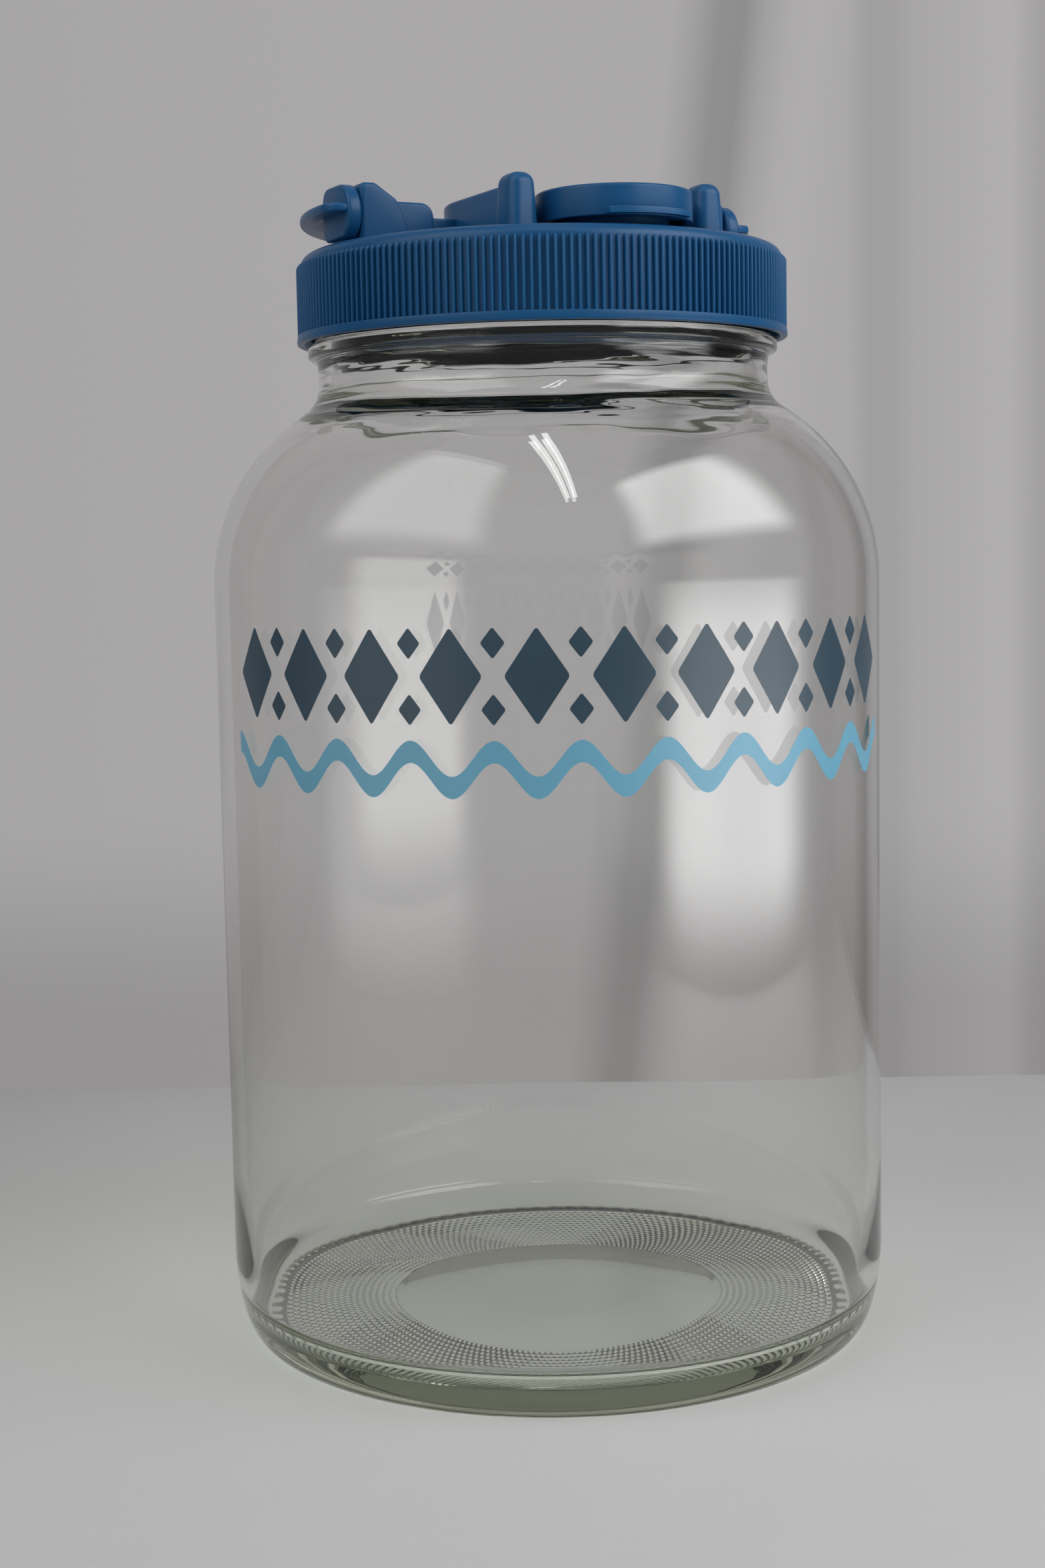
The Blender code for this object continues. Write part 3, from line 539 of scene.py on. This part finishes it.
def makePrint():
    # a plain geometric band: lozenges over a wave
    pitch = printing["along"] / printing["motifs"]
    middle = (printing["navyLow"] + printing["navyHigh"]) / 2
    tall = printing["navyHigh"] - printing["navyLow"]
    bm = bmesh.new()
    for index in range(printing["motifs"]):
        x = (index + 0.5) * pitch - printing["along"] / 2
        addLozenge(bm, x, middle, printing["lozengeWidth"], tall, printing["lozengeRounding"])
        if index:
            for side in (-1, 1):
                y = middle + side * (tall - printing["smallHeight"]) / 2
                addLozenge(bm, x - pitch / 2, y, printing["smallWidth"], printing["smallHeight"],
                           printing["smallRounding"])
    cutAlong(bm)
    faceOut(bm)
    finishPrint("print_navy", bm, navyInk)

    bm = bmesh.new()
    made = bmesh.ops.create_grid(bm, x_segments=240, y_segments=2, size=0.5)
    bmesh.ops.scale(bm, vec=(printing["along"], printing["waveStroke"], 1), verts=made["verts"])
    swing = (printing["waveHigh"] - printing["waveLow"] - printing["waveStroke"]) / 2
    for vert in bm.verts:
        vert.co.y += swing * math.cos(2 * math.pi * vert.co.x / pitch)
        vert.co.y += (printing["waveHigh"] + printing["waveLow"]) / 2
    finishPrint("print_wave", bm, skyInk)


makePrint()
print("jar done")


# Screw lid

lid = dict(plateTop=250.981, plateBottom=249.281, bottom=230.881, innerRadius=54.8, coreRadius=55.7,
           ribRadius=56.6, edgeStart=46, edgeRadius=2.7, sunk=0.6, lipHeight=2.0, lipFlare=0.2, lipEdge=0.5,
           innerEdge=(0.3, 0.6), skirtFrom=1.2, skirtRing=0.8, ribs=210, ribTop=248.55, ribBase=0.84,
           ribCrest=0.54, ribDome=[(0.75, 1.0), (0.42, 0.9), (0.16, 0.68), (0, 0.3)], threadPitch=5.08,
           threadTurns=2.4, threadDepth=1.1, threadWidth=1.6, threadFade=0.06, threadBelow=2.1)
guard = dict(inner=19.8, outer=22.2, top=262.181, edge=0.85, arm=-33.5, steps=64)
frontPost = dict(inner=19.8, width=7.2, length=9.6, middle=-33.3, top=263.381, rounding=2.5, draft=0.84)
pivotPost = dict(outer=47.2, top=264.481, topLength=3.6, topRoundings=(1.4, 1.6), shoulder=8.8,
                 shoulderDrop=3.4, base=13.8, width=10.0, edge=0.9, sunk=1.2)
hump = dict(start=42.2, end=28.2, slope=0.8, top=260.881, rounding=3.0, width=7.4, edge=0.9)
web = dict(start=32.6, end=21.0, top=257.981, width=3.0, edge=0.6)
spout = dict(middle=-34.3, bore=9.5, wall=2.5, top=256.581, edge=0.5)
plateFoot = lid["plateTop"] - lid["sunk"]


def makeLidShell():
    bm = bmesh.new()
    lipRadius = lid["ribRadius"] + lid["lipFlare"]
    ribBottom = lid["bottom"] + lid["lipHeight"]
    edgeAcross, edgeUp = lid["innerEdge"]
    corners = [(0, lid["plateTop"], 0), (lid["edgeStart"], lid["plateTop"], 0),
               (lid["coreRadius"], lid["plateTop"], lid["edgeRadius"]), (lid["coreRadius"], ribBottom, 0.15),
               (lid["ribRadius"] + 0.05, ribBottom, 0.25), (lipRadius, lid["bottom"] + lid["lipEdge"], 0),
               (lipRadius - 0.1, lid["bottom"], 0.3), (lid["innerRadius"] + edgeAcross, lid["bottom"], 0.2),
               (lid["innerRadius"], lid["bottom"] + edgeUp, 0)]
    outline = roundedCorners(corners)
    height = lid["bottom"] + lid["skirtFrom"]
    while height < lid["plateBottom"] - lid["skirtRing"]:
        outline.append((lid["innerRadius"], height))
        height += lid["skirtRing"]
    outline += [(reach, lid["plateBottom"]) for reach in (lid["innerRadius"], lid["edgeStart"], 0)]
    spinOutline(bm, outline, 240)
    # the lid's thread runs inside the skirt, between the turns of the jar's
    threadTop = rimTop - jar["threadBelowRim"] - lid["threadBelow"]
    threadLow = threadTop - lid["threadPitch"] * lid["threadTurns"]
    for vert in bm.verts:
        reach = math.hypot(vert.co.x, vert.co.y)
        if abs(reach - lid["innerRadius"]) < 0.01:
            turn = math.atan2(vert.co.y, vert.co.x) / (2 * math.pi) % 1
            grow = threadGrowth(lid, vert, turn, threadLow)
            if grow:
                moveOut(vert, reach, -grow)

    # the spout's hole goes through the plate
    plate = finishPiece("lid_shell", bm, bluePlastic, "lid", "screw_lid", 40)
    cutter = bmesh.new()
    newCylinder(cutter, spout["bore"], 20, 64)
    bmesh.ops.translate(cutter, vec=(0, spout["middle"], lid["plateTop"]), verts=cutter.verts)
    bmesh.ops.scale(cutter, vec=(millimetre,) * 3, verts=cutter.verts)
    cutMesh = bpy.data.meshes.new("spout_cut")
    cutter.to_mesh(cutMesh)
    cutter.free()
    cutObject = linkObject("spout_cut", cutMesh)
    hole = plate.modifiers.new("spout hole", "BOOLEAN")
    hole.operation = "DIFFERENCE"
    hole.solver = "EXACT"
    hole.object = cutObject
    bpy.context.view_layer.update()
    seen = plate.evaluated_get(bpy.context.evaluated_depsgraph_get())
    plate.data = bpy.data.meshes.new_from_object(seen)
    plate.modifiers.clear()
    bpy.data.objects.remove(cutObject)


def makeRibs():
    # one rib with a domed top end, then a full turn of them
    bm = bmesh.new()
    halfBase, halfCrest = lid["ribBase"] / 2, lid["ribCrest"] / 2
    proud = lid["ribRadius"] - lid["coreRadius"]
    section = [(-halfBase, -0.15), (-halfBase + 0.03, proud * 0.45), (-halfCrest, proud * 0.86),
               (-halfCrest + 0.14, proud), (halfCrest - 0.14, proud), (halfCrest, proud * 0.86),
               (halfBase - 0.03, proud * 0.45), (halfBase, -0.15)]
    foot = lid["bottom"] + lid["lipHeight"] - 0.2
    rows = [(foot, 1.0)] + [(lid["ribTop"] - drop, share) for drop, share in lid["ribDome"]]
    verts = [bm.verts.new((lid["coreRadius"] + out, along, rows[0][0])) for along, out in section]
    edges = [bm.edges.new(pair) for pair in zip(verts, verts[1:])]
    for (height, share), (_, lastShare) in zip(rows[1:], rows):
        made = bmesh.ops.extrude_edge_only(bm, edges=edges)
        verts = madeItems(made, bmesh.types.BMVert)
        edges = [item for item in madeItems(made, bmesh.types.BMEdge)
                 if all(vert in verts for vert in item.verts)]
        for vert in verts:
            out = vert.co.x - lid["coreRadius"]
            vert.co.x = lid["coreRadius"] + (out * share / lastShare if out > 0 else out)
            vert.co.y *= (0.4 + 0.6 * share) / (0.4 + 0.6 * lastShare)
            vert.co.z = height
    bmesh.ops.contextual_create(bm, geom=edges)
    faceOut(bm)
    outward = sum(face.normal.x * face.calc_area() for face in bm.faces)
    if outward < 0:
        bmesh.ops.reverse_faces(bm, faces=bm.faces)
    geom = bm.verts[:] + bm.edges[:] + bm.faces[:]
    bmesh.ops.spin(bm, geom=geom, cent=(0, 0, 0), axis=(0, 0, 1), angle=2 * math.pi, steps=lid["ribs"],
                   use_duplicate=True)
    bmesh.ops.remove_doubles(bm, verts=bm.verts, dist=0.01)
    finishPiece("lid_ribs", bm, bluePlastic, "lid", None)


def makeGuard():
    # the wall that the open cap folds back into, with a softly rounded top
    bm = bmesh.new()
    outline = [(guard["outer"], guard["arm"])] + arcPoints((0, 0), guard["outer"], 0, 180, guard["steps"])
    outline += [(-guard["outer"], guard["arm"]), (-guard["inner"], guard["arm"])]
    outline += arcPoints((0, 0), guard["inner"], 180, 0, guard["steps"]) + [(guard["inner"], guard["arm"])]
    raisedOutline(bm, outline, plateFoot, guard["top"], guard["edge"], 4)
    for side in (-1, 1):
        # a front post with a domed top and a little draft closes each arm
        low = (min(side * frontPost["inner"], side * (frontPost["inner"] + frontPost["width"])),
               frontPost["middle"] - frontPost["length"] / 2, plateFoot)
        high = (low[0] + frontPost["width"], low[1] + frontPost["length"], frontPost["top"])
        part = bmesh.new()
        verts = newBox(part, low, high)
        centre = (Vector(low) + Vector(high)) / 2
        for vert in verts:
            if vert.co.z > centre.z:
                vert.co.x = centre.x + (vert.co.x - centre.x) * frontPost["draft"]
                vert.co.y = centre.y + (vert.co.y - centre.y) * frontPost["draft"]
        edges = [edge for edge in part.edges if max(vert.co.z for vert in edge.verts) > centre.z]
        roundEdges(part, edges, frontPost["rounding"], 7)
        joinPart(bm, part)
    finishPiece("lid_guard", bm, bluePlastic, "lid", None)


def makePivotPosts():
    # each post with its hump and its web, drawn as (x, z)
    bm = bmesh.new()
    foot = lid["plateTop"] - pivotPost["sunk"]
    outer, top = pivotPost["outer"], pivotPost["top"]
    corner, slope = pivotPost["topRoundings"]
    post = roundedCorners([(outer, foot, 0), (outer, top, corner),
                           (outer - pivotPost["topLength"], top, slope),
                           (outer - pivotPost["shoulder"], top - pivotPost["shoulderDrop"], slope),
                           (outer - pivotPost["base"], foot, 0)], closed=True)
    humpShape = roundedCorners([(hump["start"], foot, 0), (hump["start"], hump["top"], 0),
                                (hump["end"] + hump["slope"], hump["top"], hump["rounding"]),
                                (hump["end"], foot, 0)], closed=True)
    webStart, webEnd = web["start"], web["end"]
    webShape = [(webStart, foot), (webStart, web["top"]), (webEnd, web["top"]), (webEnd, foot)]
    for side in (-1, 1):
        for outline, form in ((post, pivotPost), (humpShape, hump), (webShape, web)):
            part = bmesh.new()
            addPlate(part, outline, -form["width"] / 2, form["width"], form["edge"], 4)
            bmesh.ops.rotate(part, cent=(0, 0, 0), matrix=Matrix.Rotation(math.pi / 2, 3, "X"),
                             verts=part.verts)
            bmesh.ops.scale(part, vec=(side, 1, 1), verts=part.verts)
            faceOut(part)
            joinPart(bm, part)
    finishPiece("lid_pivot_posts", bm, bluePlastic, "lid", None)


def makeSpout():
    bm = bmesh.new()
    outer = spout["bore"] + spout["wall"]
    outline = roundedCorners([(outer, plateFoot, 0), (outer, spout["top"], spout["edge"]),
                              (spout["bore"], spout["top"], spout["edge"]),
                              (spout["bore"], lid["plateBottom"], 0)], closed=True, steps=4)
    spinOutline(bm, outline, 72, (0, spout["middle"]), closed=True)
    finishPiece("lid_spout", bm, bluePlastic, "lid", None)


for make in (makeLidShell, makeRibs, makeGuard, makePivotPosts, makeSpout):
    make()
print("lid done")


# Flip cap, seal and gasket

cap = dict(radius=17.2, wall=1.6, bottom=253.281, top=259.981, edge=0.7, topRing=3, foot=0.25,
           ceilingEdge=0.5, ledgeReach=1.8, ledgeSpan=64, ledgeRoot=10.0, ledgeLow=0.2, ledgeThickness=1.4,
           ledgeEdge=0.25, hingeY=-17.15, hingeZ=256.981, barrelRadius=2.6, barrelEnd=19.4, pinRadius=1.5,
           pinEnd=21.4, webLength=28.0, webRoot=2.5, webBelow=1.3, webAbove=2.1, hingeEdge=0.3, pinEdge=0.2)
seal = dict(radius=14.0, top=258.081, flange=256.881, plugRadius=9.0, plugWall=1.6, plugDepth=2.4, edge=0.25,
            plugRoot=0.2, plugEdge=0.4)
gasket = dict(outer=54.4, width=5.4, bottom=247.781, top=248.981, edge=0.3)


def addRod(bm, radius, end, place, rounding):
    # a rod along X, with rounded ends
    before = set(bm.verts)
    newCylinder(bm, radius, 2 * end, 40)
    rims = [edge for edge in bm.edges if edge.verts[0] not in before
            and abs(edge.verts[0].co.z - edge.verts[1].co.z) < 0.001]
    roundEdges(bm, rims, rounding, 2)
    fresh = [vert for vert in bm.verts if vert not in before]
    bmesh.ops.rotate(bm, cent=(0, 0, 0), matrix=Matrix.Rotation(math.pi / 2, 3, "Y"), verts=fresh)
    bmesh.ops.translate(bm, vec=place, verts=fresh)


def makeFlipCap():
    bm = bmesh.new()
    inner, ceiling = cap["radius"] - cap["wall"], cap["top"] - cap["wall"]
    outline = roundedCorners([(0, cap["top"], 0), (cap["radius"] - cap["topRing"], cap["top"], 0),
                              (cap["radius"], cap["top"], cap["edge"]),
                              (cap["radius"], cap["bottom"], cap["foot"]),
                              (inner, cap["bottom"], cap["foot"]),
                              (inner, ceiling, cap["ceilingEdge"]), (0, ceiling, 0)], steps=5)
    spinOutline(bm, outline, 128, (0, spout["middle"]))

    ledge = bmesh.new()
    start, end = -90 - cap["ledgeSpan"] / 2, -90 + cap["ledgeSpan"] / 2
    shape = arcPoints((0, spout["middle"]), cap["radius"] + cap["ledgeReach"], start, end, 24)
    shape += [(shape[end][0], spout["middle"] - cap["ledgeRoot"]) for end in (-1, 0)]
    low = cap["bottom"] + cap["ledgeLow"]
    raisedOutline(ledge, shape, low, low + cap["ledgeThickness"], cap["ledgeEdge"], 3)

    hinge = bmesh.new()
    webBack = spout["middle"] + cap["radius"] - cap["webRoot"]
    newBox(hinge, (-cap["webLength"] / 2, webBack, cap["hingeZ"] - cap["webBelow"]),
           (cap["webLength"] / 2, cap["hingeY"], cap["hingeZ"] + cap["webAbove"]))
    roundEdges(hinge, hinge.edges[:], cap["hingeEdge"], 3)
    place = (0, cap["hingeY"], cap["hingeZ"])
    addRod(hinge, cap["barrelRadius"], cap["barrelEnd"], place, cap["hingeEdge"])
    addRod(hinge, cap["pinRadius"], cap["pinEnd"], place, cap["pinEdge"])
    joinPart(bm, ledge)
    joinPart(bm, hinge)
    finishPiece("flip_cap_moulding", bm, bluePlastic, "cap", "flip_cap")


def makeSeal():
    bm = bmesh.new()
    plugInner = seal["plugRadius"] - seal["plugWall"]
    low = seal["flange"] - seal["plugDepth"]
    outline = roundedCorners([(0, seal["top"], 0), (seal["radius"], seal["top"], seal["edge"]),
                              (seal["radius"], seal["flange"], seal["edge"]),
                              (seal["plugRadius"], seal["flange"], seal["plugRoot"]),
                              (seal["plugRadius"], low, seal["plugEdge"]), (plugInner, low, seal["plugEdge"]),
                              (plugInner, seal["flange"], seal["plugRoot"]), (0, seal["flange"], 0)], steps=4)
    spinOutline(bm, outline, 96, (0, spout["middle"]))
    finishPiece("seal_disc", bm, silicone, "cap", "flip_cap_seal")


def makeGasket():
    bm = bmesh.new()
    inner, outer, edge = gasket["outer"] - gasket["width"], gasket["outer"], gasket["edge"]
    outline = roundedCorners([(inner, gasket["top"], edge), (outer, gasket["top"], edge),
                              (outer, gasket["bottom"], edge), (inner, gasket["bottom"], edge)],
                             closed=True, steps=3)
    spinOutline(bm, outline, 160, closed=True)
    finishPiece("gasket_ring", bm, silicone, "gasket", "lid_gasket")


makeFlipCap()
makeSeal()
makeGasket()
print("cap, seal and gasket done")


# Carry handle

handle = dict(earInner=47.5, earOuter=50.8, earRadius=6.3, earLength=8.8, earDrop=5.6, earTopRounding=3.0,
              earFootRounding=2.2, earEdge=0.8, pivotHeight=257.981, outer=55.4, gripWidth=13.2, overhang=3,
              endWidth=1.9, endSlant=(0.9, 1.2), earOverlap=0.4, strapMiddle=258.681, strapThickness=1.9,
              strapEdge=0.6, pinRadius=2.5, pinEnd=42.4, pinOverlap=0.3)


def makeHandle():
    bm = bmesh.new()
    foot = handle["earRadius"] / 2
    outer, inner = handle["outer"], handle["outer"] - handle["gripWidth"]
    reach = handle["earOuter"] - handle["earOverlap"]
    slantAcross, slantAlong = handle["endSlant"]
    front = handle["earEdge"] - handle["earRadius"]
    outline = arcPoints((0, 0), outer, -handle["overhang"], 180 + handle["overhang"], 96)
    end = [(outer - slantAcross, front + slantAlong), (outer - handle["endWidth"], front), (reach, front)]
    outline += [(-x, y) for x, y in end]
    outline += [(reach * x, foot + (inner - foot) * y) for x, y in arcPoints((0, 0), 1, 180, 0, 72)]
    outline += reversed(end)
    addPlate(bm, outline, handle["strapMiddle"] - handle["strapThickness"] / 2, handle["strapThickness"],
             handle["strapEdge"], 3)
    faceOut(bm)

    # the end plate, round at its front and squarer at its back, drawn as (y, z)
    high, drop = handle["earRadius"], handle["earDrop"]
    shape = arcPoints((0, 0), high, 90, 180 + math.degrees(math.asin(drop / high)), 20)
    shape += roundedCorners([(0, -drop, 0), (handle["earLength"], -drop, handle["earFootRounding"]),
                             (handle["earLength"], high, handle["earTopRounding"]), (0, high, 0)])[1:-1]
    thick = handle["earOuter"] - handle["earInner"]
    pinLength = handle["earInner"] + handle["pinOverlap"] - handle["pinEnd"]
    for side in (-1, 1):
        part = bmesh.new()
        addPlate(part, shape, -thick / 2, thick, handle["earEdge"], 4)
        # (y, z, thickness) goes to (thickness, y, z)
        bmesh.ops.transform(part, matrix=Matrix(((0, 0, 1), (1, 0, 0), (0, 1, 0))).to_4x4(), verts=part.verts)
        middle = side * (handle["earInner"] + handle["earOuter"]) / 2
        bmesh.ops.translate(part, vec=(middle, 0, handle["pivotHeight"]), verts=part.verts)
        # the pin that it turns on
        pin = newCylinder(part, handle["pinRadius"], pinLength, 32)
        bmesh.ops.rotate(part, cent=(0, 0, 0), matrix=Matrix.Rotation(math.pi / 2, 3, "Y"), verts=pin)
        bmesh.ops.translate(part, vec=(side * (handle["pinEnd"] + pinLength / 2), 0, handle["pivotHeight"]),
                            verts=pin)
        faceOut(part)
        joinPart(bm, part)
    finishPiece("handle_strap", bm, bluePlastic, "handle", "carry_handle")


makeHandle()
print("handle done")


# Floor, backdrop, lamps and camera

# The stage is drawn facing the camera and then turned, with the lamps and the camera.
stage = dict(turn=-28.0, wallDistance=0.235, floorFront=-1.3, floorBack=1.3, floorNear="#d3d2d3",
             floorFarShade="#cecdce", wallColour="#aaa8a9", wallFootShade="#979595", wide=2.2,
             tall=1.9, foldSlant=0.114, foldHeight=0.307)
# (metres across, tone) stops: painted shade on the backdrop, which falls away in tone at its left and right
# and darkens in one deep fold
drapeShade = [(-1.0, 0.3), (-0.5, 0.6), (-0.25, 0.95), (0.0, 1.0), (0.1, 1.0), (0.112, 0.86), (0.13, 1.0),
         (0.155, 1.08), (0.17, 0.85), (0.2, 0.9), (0.32, 0.5), (0.7, 0.2)]
deepFoldShade = [(0.042, 1.0), (0.053, 0.7), (0.064, 0.68), (0.074, 1.0), (0.085, 1.06), (0.1, 1.0)]
# soft is the share of a panel over which it fades out, at its left, right, foot and top
lamps = [dict(name="left low panel", place=(-0.398, -0.334, 0.09), size=(0.62, 0.22), power=0.38,
              soft=(0.25, 0.25, 0.30, 0.25)),
         dict(name="left high panel", place=(-0.398, -0.334, 0.865), size=(0.70, 1.07), power=4.2,
              soft=(0.22, 0.22, 0.12, 0.06)),
         dict(name="right low panel", place=(0.463, -0.236, 0.10), size=(0.62, 0.20), power=1.4,
              soft=(0.20, 0.30, 0.28, 0.25)),
         dict(name="right high panel", place=(0.463, -0.236, 0.64), size=(0.77, 0.62), power=5.4,
              soft=(0.18, 0.30, 0.15, 0.12))]
# a ceiling light of two tubes, which shows as a bright slash on the shoulder
tubes = dict(middle=(0.10, -0.62, 1.30), length=1.0, width=0.028, apart=0.058, turn=-76.0, power=0.75)
room = dict(colour="#c9c8c8", strength=0.30)
view = dict(distance=0.5404, height=0.1833, pitch=-5.86, roll=-1.07, yaw=-0.69, lens=52.527, sensor=36.0)
turnStage = Matrix.Rotation(math.radians(stage["turn"]), 4, "Z")


def toneRamp(tree, source, output, stops):
    # a row of tones along a distance in metres, at half their strength, because a ramp stops at 1
    share = addNode(tree, "MapRange", {}, {"From Min": -1.0, "From Max": 1.0}, {"Value": (source, output)})
    ramp = addNode(tree, "ValToRGB", links={"Fac": (share, 0)})
    ramp.color_ramp.interpolation = "EASE"
    points = ramp.color_ramp.elements
    while len(points) < len(stops):
        points.new(0.5)
    for point, (distance, tone) in zip(points, stops):
        point.position = (distance + 1) / 2
        point.color = (tone / 2, tone / 2, tone / 2, 1)
    return ramp


def makeFloorCloth():
    # Cotton sheet, woven and washed: matt and white, with painted shade that makes it a little darker towards
    # the backdrop.
    material, tree, shader, place = newMaterial("cotton sheet, woven")
    split = addNode(tree, "SeparateXYZ", links={0: (place, "Object")})
    # painted shade: darker towards the backdrop
    along = addNode(tree, "MapRange", smoothly, {"From Min": -0.12, "From Max": 0.22},
                    {"Value": (split, "Y")})
    creases = addNode(tree, "TexNoise", {}, {"Scale": 9.0, "Detail": 4.0, "Roughness": 0.5},
                      {"Vector": (place, "Object")})
    near, far = hexColour(stage["floorNear"]), hexColour(stage["floorFarShade"])
    tone = addNode(tree, "Mix", ofColours, {6: near, 7: far}, {0: (along, 0)})
    connect(tree, tone, 2, shader, "Base Color")
    shader.inputs["Roughness"].default_value = 0.9
    bump = addNode(tree, "Bump", {}, {"Strength": 0.35, "Distance": 0.004}, {"Height": (creases, "Fac")})
    connect(tree, bump, "Normal", shader, "Normal")
    return material


def makeBackdropCloth():
    # Cotton sheet, hung: matt, with soft folds that are painted shade. It is shown at its own tone, with
    # painted shade at its foot, at its left and right and in one deep fold, and only the light that it sends
    # on comes from the lamps.
    material, tree, shader, place = newMaterial("cotton sheet, hung")
    output = tree.nodes["Material Output"]
    split = addNode(tree, "SeparateXYZ", links={0: (place, "Object")})
    # painted shade: darker at the foot of the backdrop
    along = addNode(tree, "MapRange", smoothly, {"From Min": 0.02, "From Max": 0.10}, {"Value": (split, "Z")})
    low, high = hexColour(stage["wallFootShade"]), hexColour(stage["wallColour"])
    tone = addNode(tree, "Mix", ofColours, {6: low, 7: high}, {0: (along, 0)})
    lean = addNode(tree, "Math", {"operation": "MULTIPLY_ADD"},
                   {1: -stage["foldSlant"], 2: stage["foldSlant"] * stage["foldHeight"]}, {0: (split, "Z")})
    leaning = addNode(tree, "Math", {"operation": "ADD"}, links={0: (split, "X"), 1: (lean, 0)})
    # painted shade at its left and right and in the deep fold
    sideShade = toneRamp(tree, split, "X", drapeShade)
    foldShade = toneRamp(tree, leaning, 0, deepFoldShade)
    both = addNode(tree, "VectorMath", product, links={0: (sideShade, 0), 1: (foldShade, 0)})
    both = addNode(tree, "VectorMath", {"operation": "SCALE"}, {"Scale": 4.0}, {0: (both, 0)})
    shade = addNode(tree, "VectorMath", product, links={0: (tone, 2), 1: (both, 0)})
    connect(tree, shade, 0, shader, "Base Color")
    shader.inputs["Roughness"].default_value = 0.95
    rays = addNode(tree, "LightPath")
    shown = addNode(tree, "Emission", {}, {"Strength": 1.0}, {"Color": (shade, 0)})
    direct = addNode(tree, "Math", larger,
                     links={0: (rays, "Is Camera Ray"), 1: (rays, "Is Transmission Ray")})
    direct = addNode(tree, "Math", larger, links={0: (direct, 0), 1: (rays, "Is Glossy Ray")})
    front = addNode(tree, "MixShader", links={0: (direct, 0), 1: (shader, "BSDF"), 2: (shown, 0)})
    # the sheet has one side only, so that the jar can be looked at from behind too
    facing = addNode(tree, "NewGeometry")
    gone = addNode(tree, "BsdfTransparent")
    surface = addNode(tree, "MixShader", links={0: (facing, "Backfacing"), 1: (front, 0), 2: (gone, 0)})
    connect(tree, surface, 0, output, "Surface")
    return material


def makeStage():
    wall = stage["wallDistance"]
    sheets = [("floor", (stage["floorFront"], 0.0), (stage["floorBack"], 0.0), makeFloorCloth()),
              ("backdrop", (wall, 0.0), (wall, stage["tall"]), makeBackdropCloth())]
    for name, start, end, material in sheets:
        bm = bmesh.new()
        verts = [bm.verts.new((-stage["wide"], y, z)) for y, z in (start, end)]
        made = bmesh.ops.extrude_edge_only(bm, edges=[bm.edges.new(verts)])
        bmesh.ops.translate(bm, vec=(2 * stage["wide"], 0, 0), verts=madeItems(made, bmesh.types.BMVert))
        mesh = bpy.data.meshes.new(name)
        bm.to_mesh(mesh)
        bm.free()
        mesh.materials.append(material)
        piece = linkObject(name, mesh)
        piece.matrix_world = turnStage


def softenLamp(light, soft):
    # the panel's own glow falls off towards its left, right, foot and top
    light.use_nodes = True
    tree = light.node_tree
    place = addNode(tree, "NewGeometry")
    split = addNode(tree, "SeparateXYZ", links={0: (place, "Parametric")})
    left, right, foot, top = soft
    glow = None
    for axis, low, high in (("X", 0.0, left), ("X", 1.0, 1 - right), ("Y", 0.0, foot), ("Y", 1.0, 1 - top)):
        part = addNode(tree, "MapRange", smoothly, {"From Min": low, "From Max": high},
                       {"Value": (split, axis)})
        glow = part if glow is None else addNode(tree, "Math", product, links={0: (glow, 0), 1: (part, 0)})
    connect(tree, glow, 0, tree.nodes["Emission"], "Strength")


def addLamp(name, size, power, matrix):
    light = bpy.data.lights.new(name, "AREA")
    light.shape = "RECTANGLE"
    light.size, light.size_y = size
    light.energy = power
    linkObject(name, light).matrix_world = turnStage @ matrix
    return light


def makeLamps():
    for lamp in lamps:
        place = Vector(lamp["place"])
        aim = Vector((-place.x, -place.y, 0)).to_track_quat("-Z", "Y").to_matrix().to_4x4()
        light = addLamp(lamp["name"], lamp["size"], lamp["power"], Matrix.Translation(place) @ aim)
        softenLamp(light, lamp["soft"])
    for side in (-1, 1):
        turn = Matrix.Rotation(math.radians(tubes["turn"]), 4, "Z")
        shift = Matrix.Translation((0, side * tubes["apart"] / 2, 0))
        addLamp("ceiling tube", (tubes["length"], tubes["width"]), tubes["power"],
                Matrix.Translation(tubes["middle"]) @ turn @ shift)
    world = bpy.data.worlds.new("room")
    world.use_nodes = True
    background = world.node_tree.nodes["Background"]
    background.inputs["Color"].default_value = hexColour(room["colour"])
    background.inputs["Strength"].default_value = room["strength"]
    bpy.context.scene.world = world


def makeCamera():
    pitch, roll, yaw = (math.radians(view[key]) for key in ("pitch", "roll", "yaw"))
    forward = Vector((math.sin(yaw) * math.cos(pitch), math.cos(yaw) * math.cos(pitch), math.sin(pitch)))
    right = Vector((math.cos(yaw), -math.sin(yaw), 0))
    up = right.cross(forward)
    across = right * math.cos(roll) + up * math.sin(roll)
    upright = up * math.cos(roll) - right * math.sin(roll)
    matrix = Matrix((across, upright, -forward)).transposed().to_4x4()
    matrix.translation = Vector((0, -view["distance"], view["height"]))
    data = bpy.data.cameras.new("photograph")
    data.lens = view["lens"]
    data.sensor_width = view["sensor"]
    data.clip_start, data.clip_end = 0.01, 20
    camera = linkObject("photograph", data)
    camera.matrix_world = turnStage @ matrix
    bpy.context.scene.camera = camera


makeStage()
makeLamps()
makeCamera()
bpy.context.scene.view_settings.view_transform = "Standard"
print("stage, lamps and camera done")
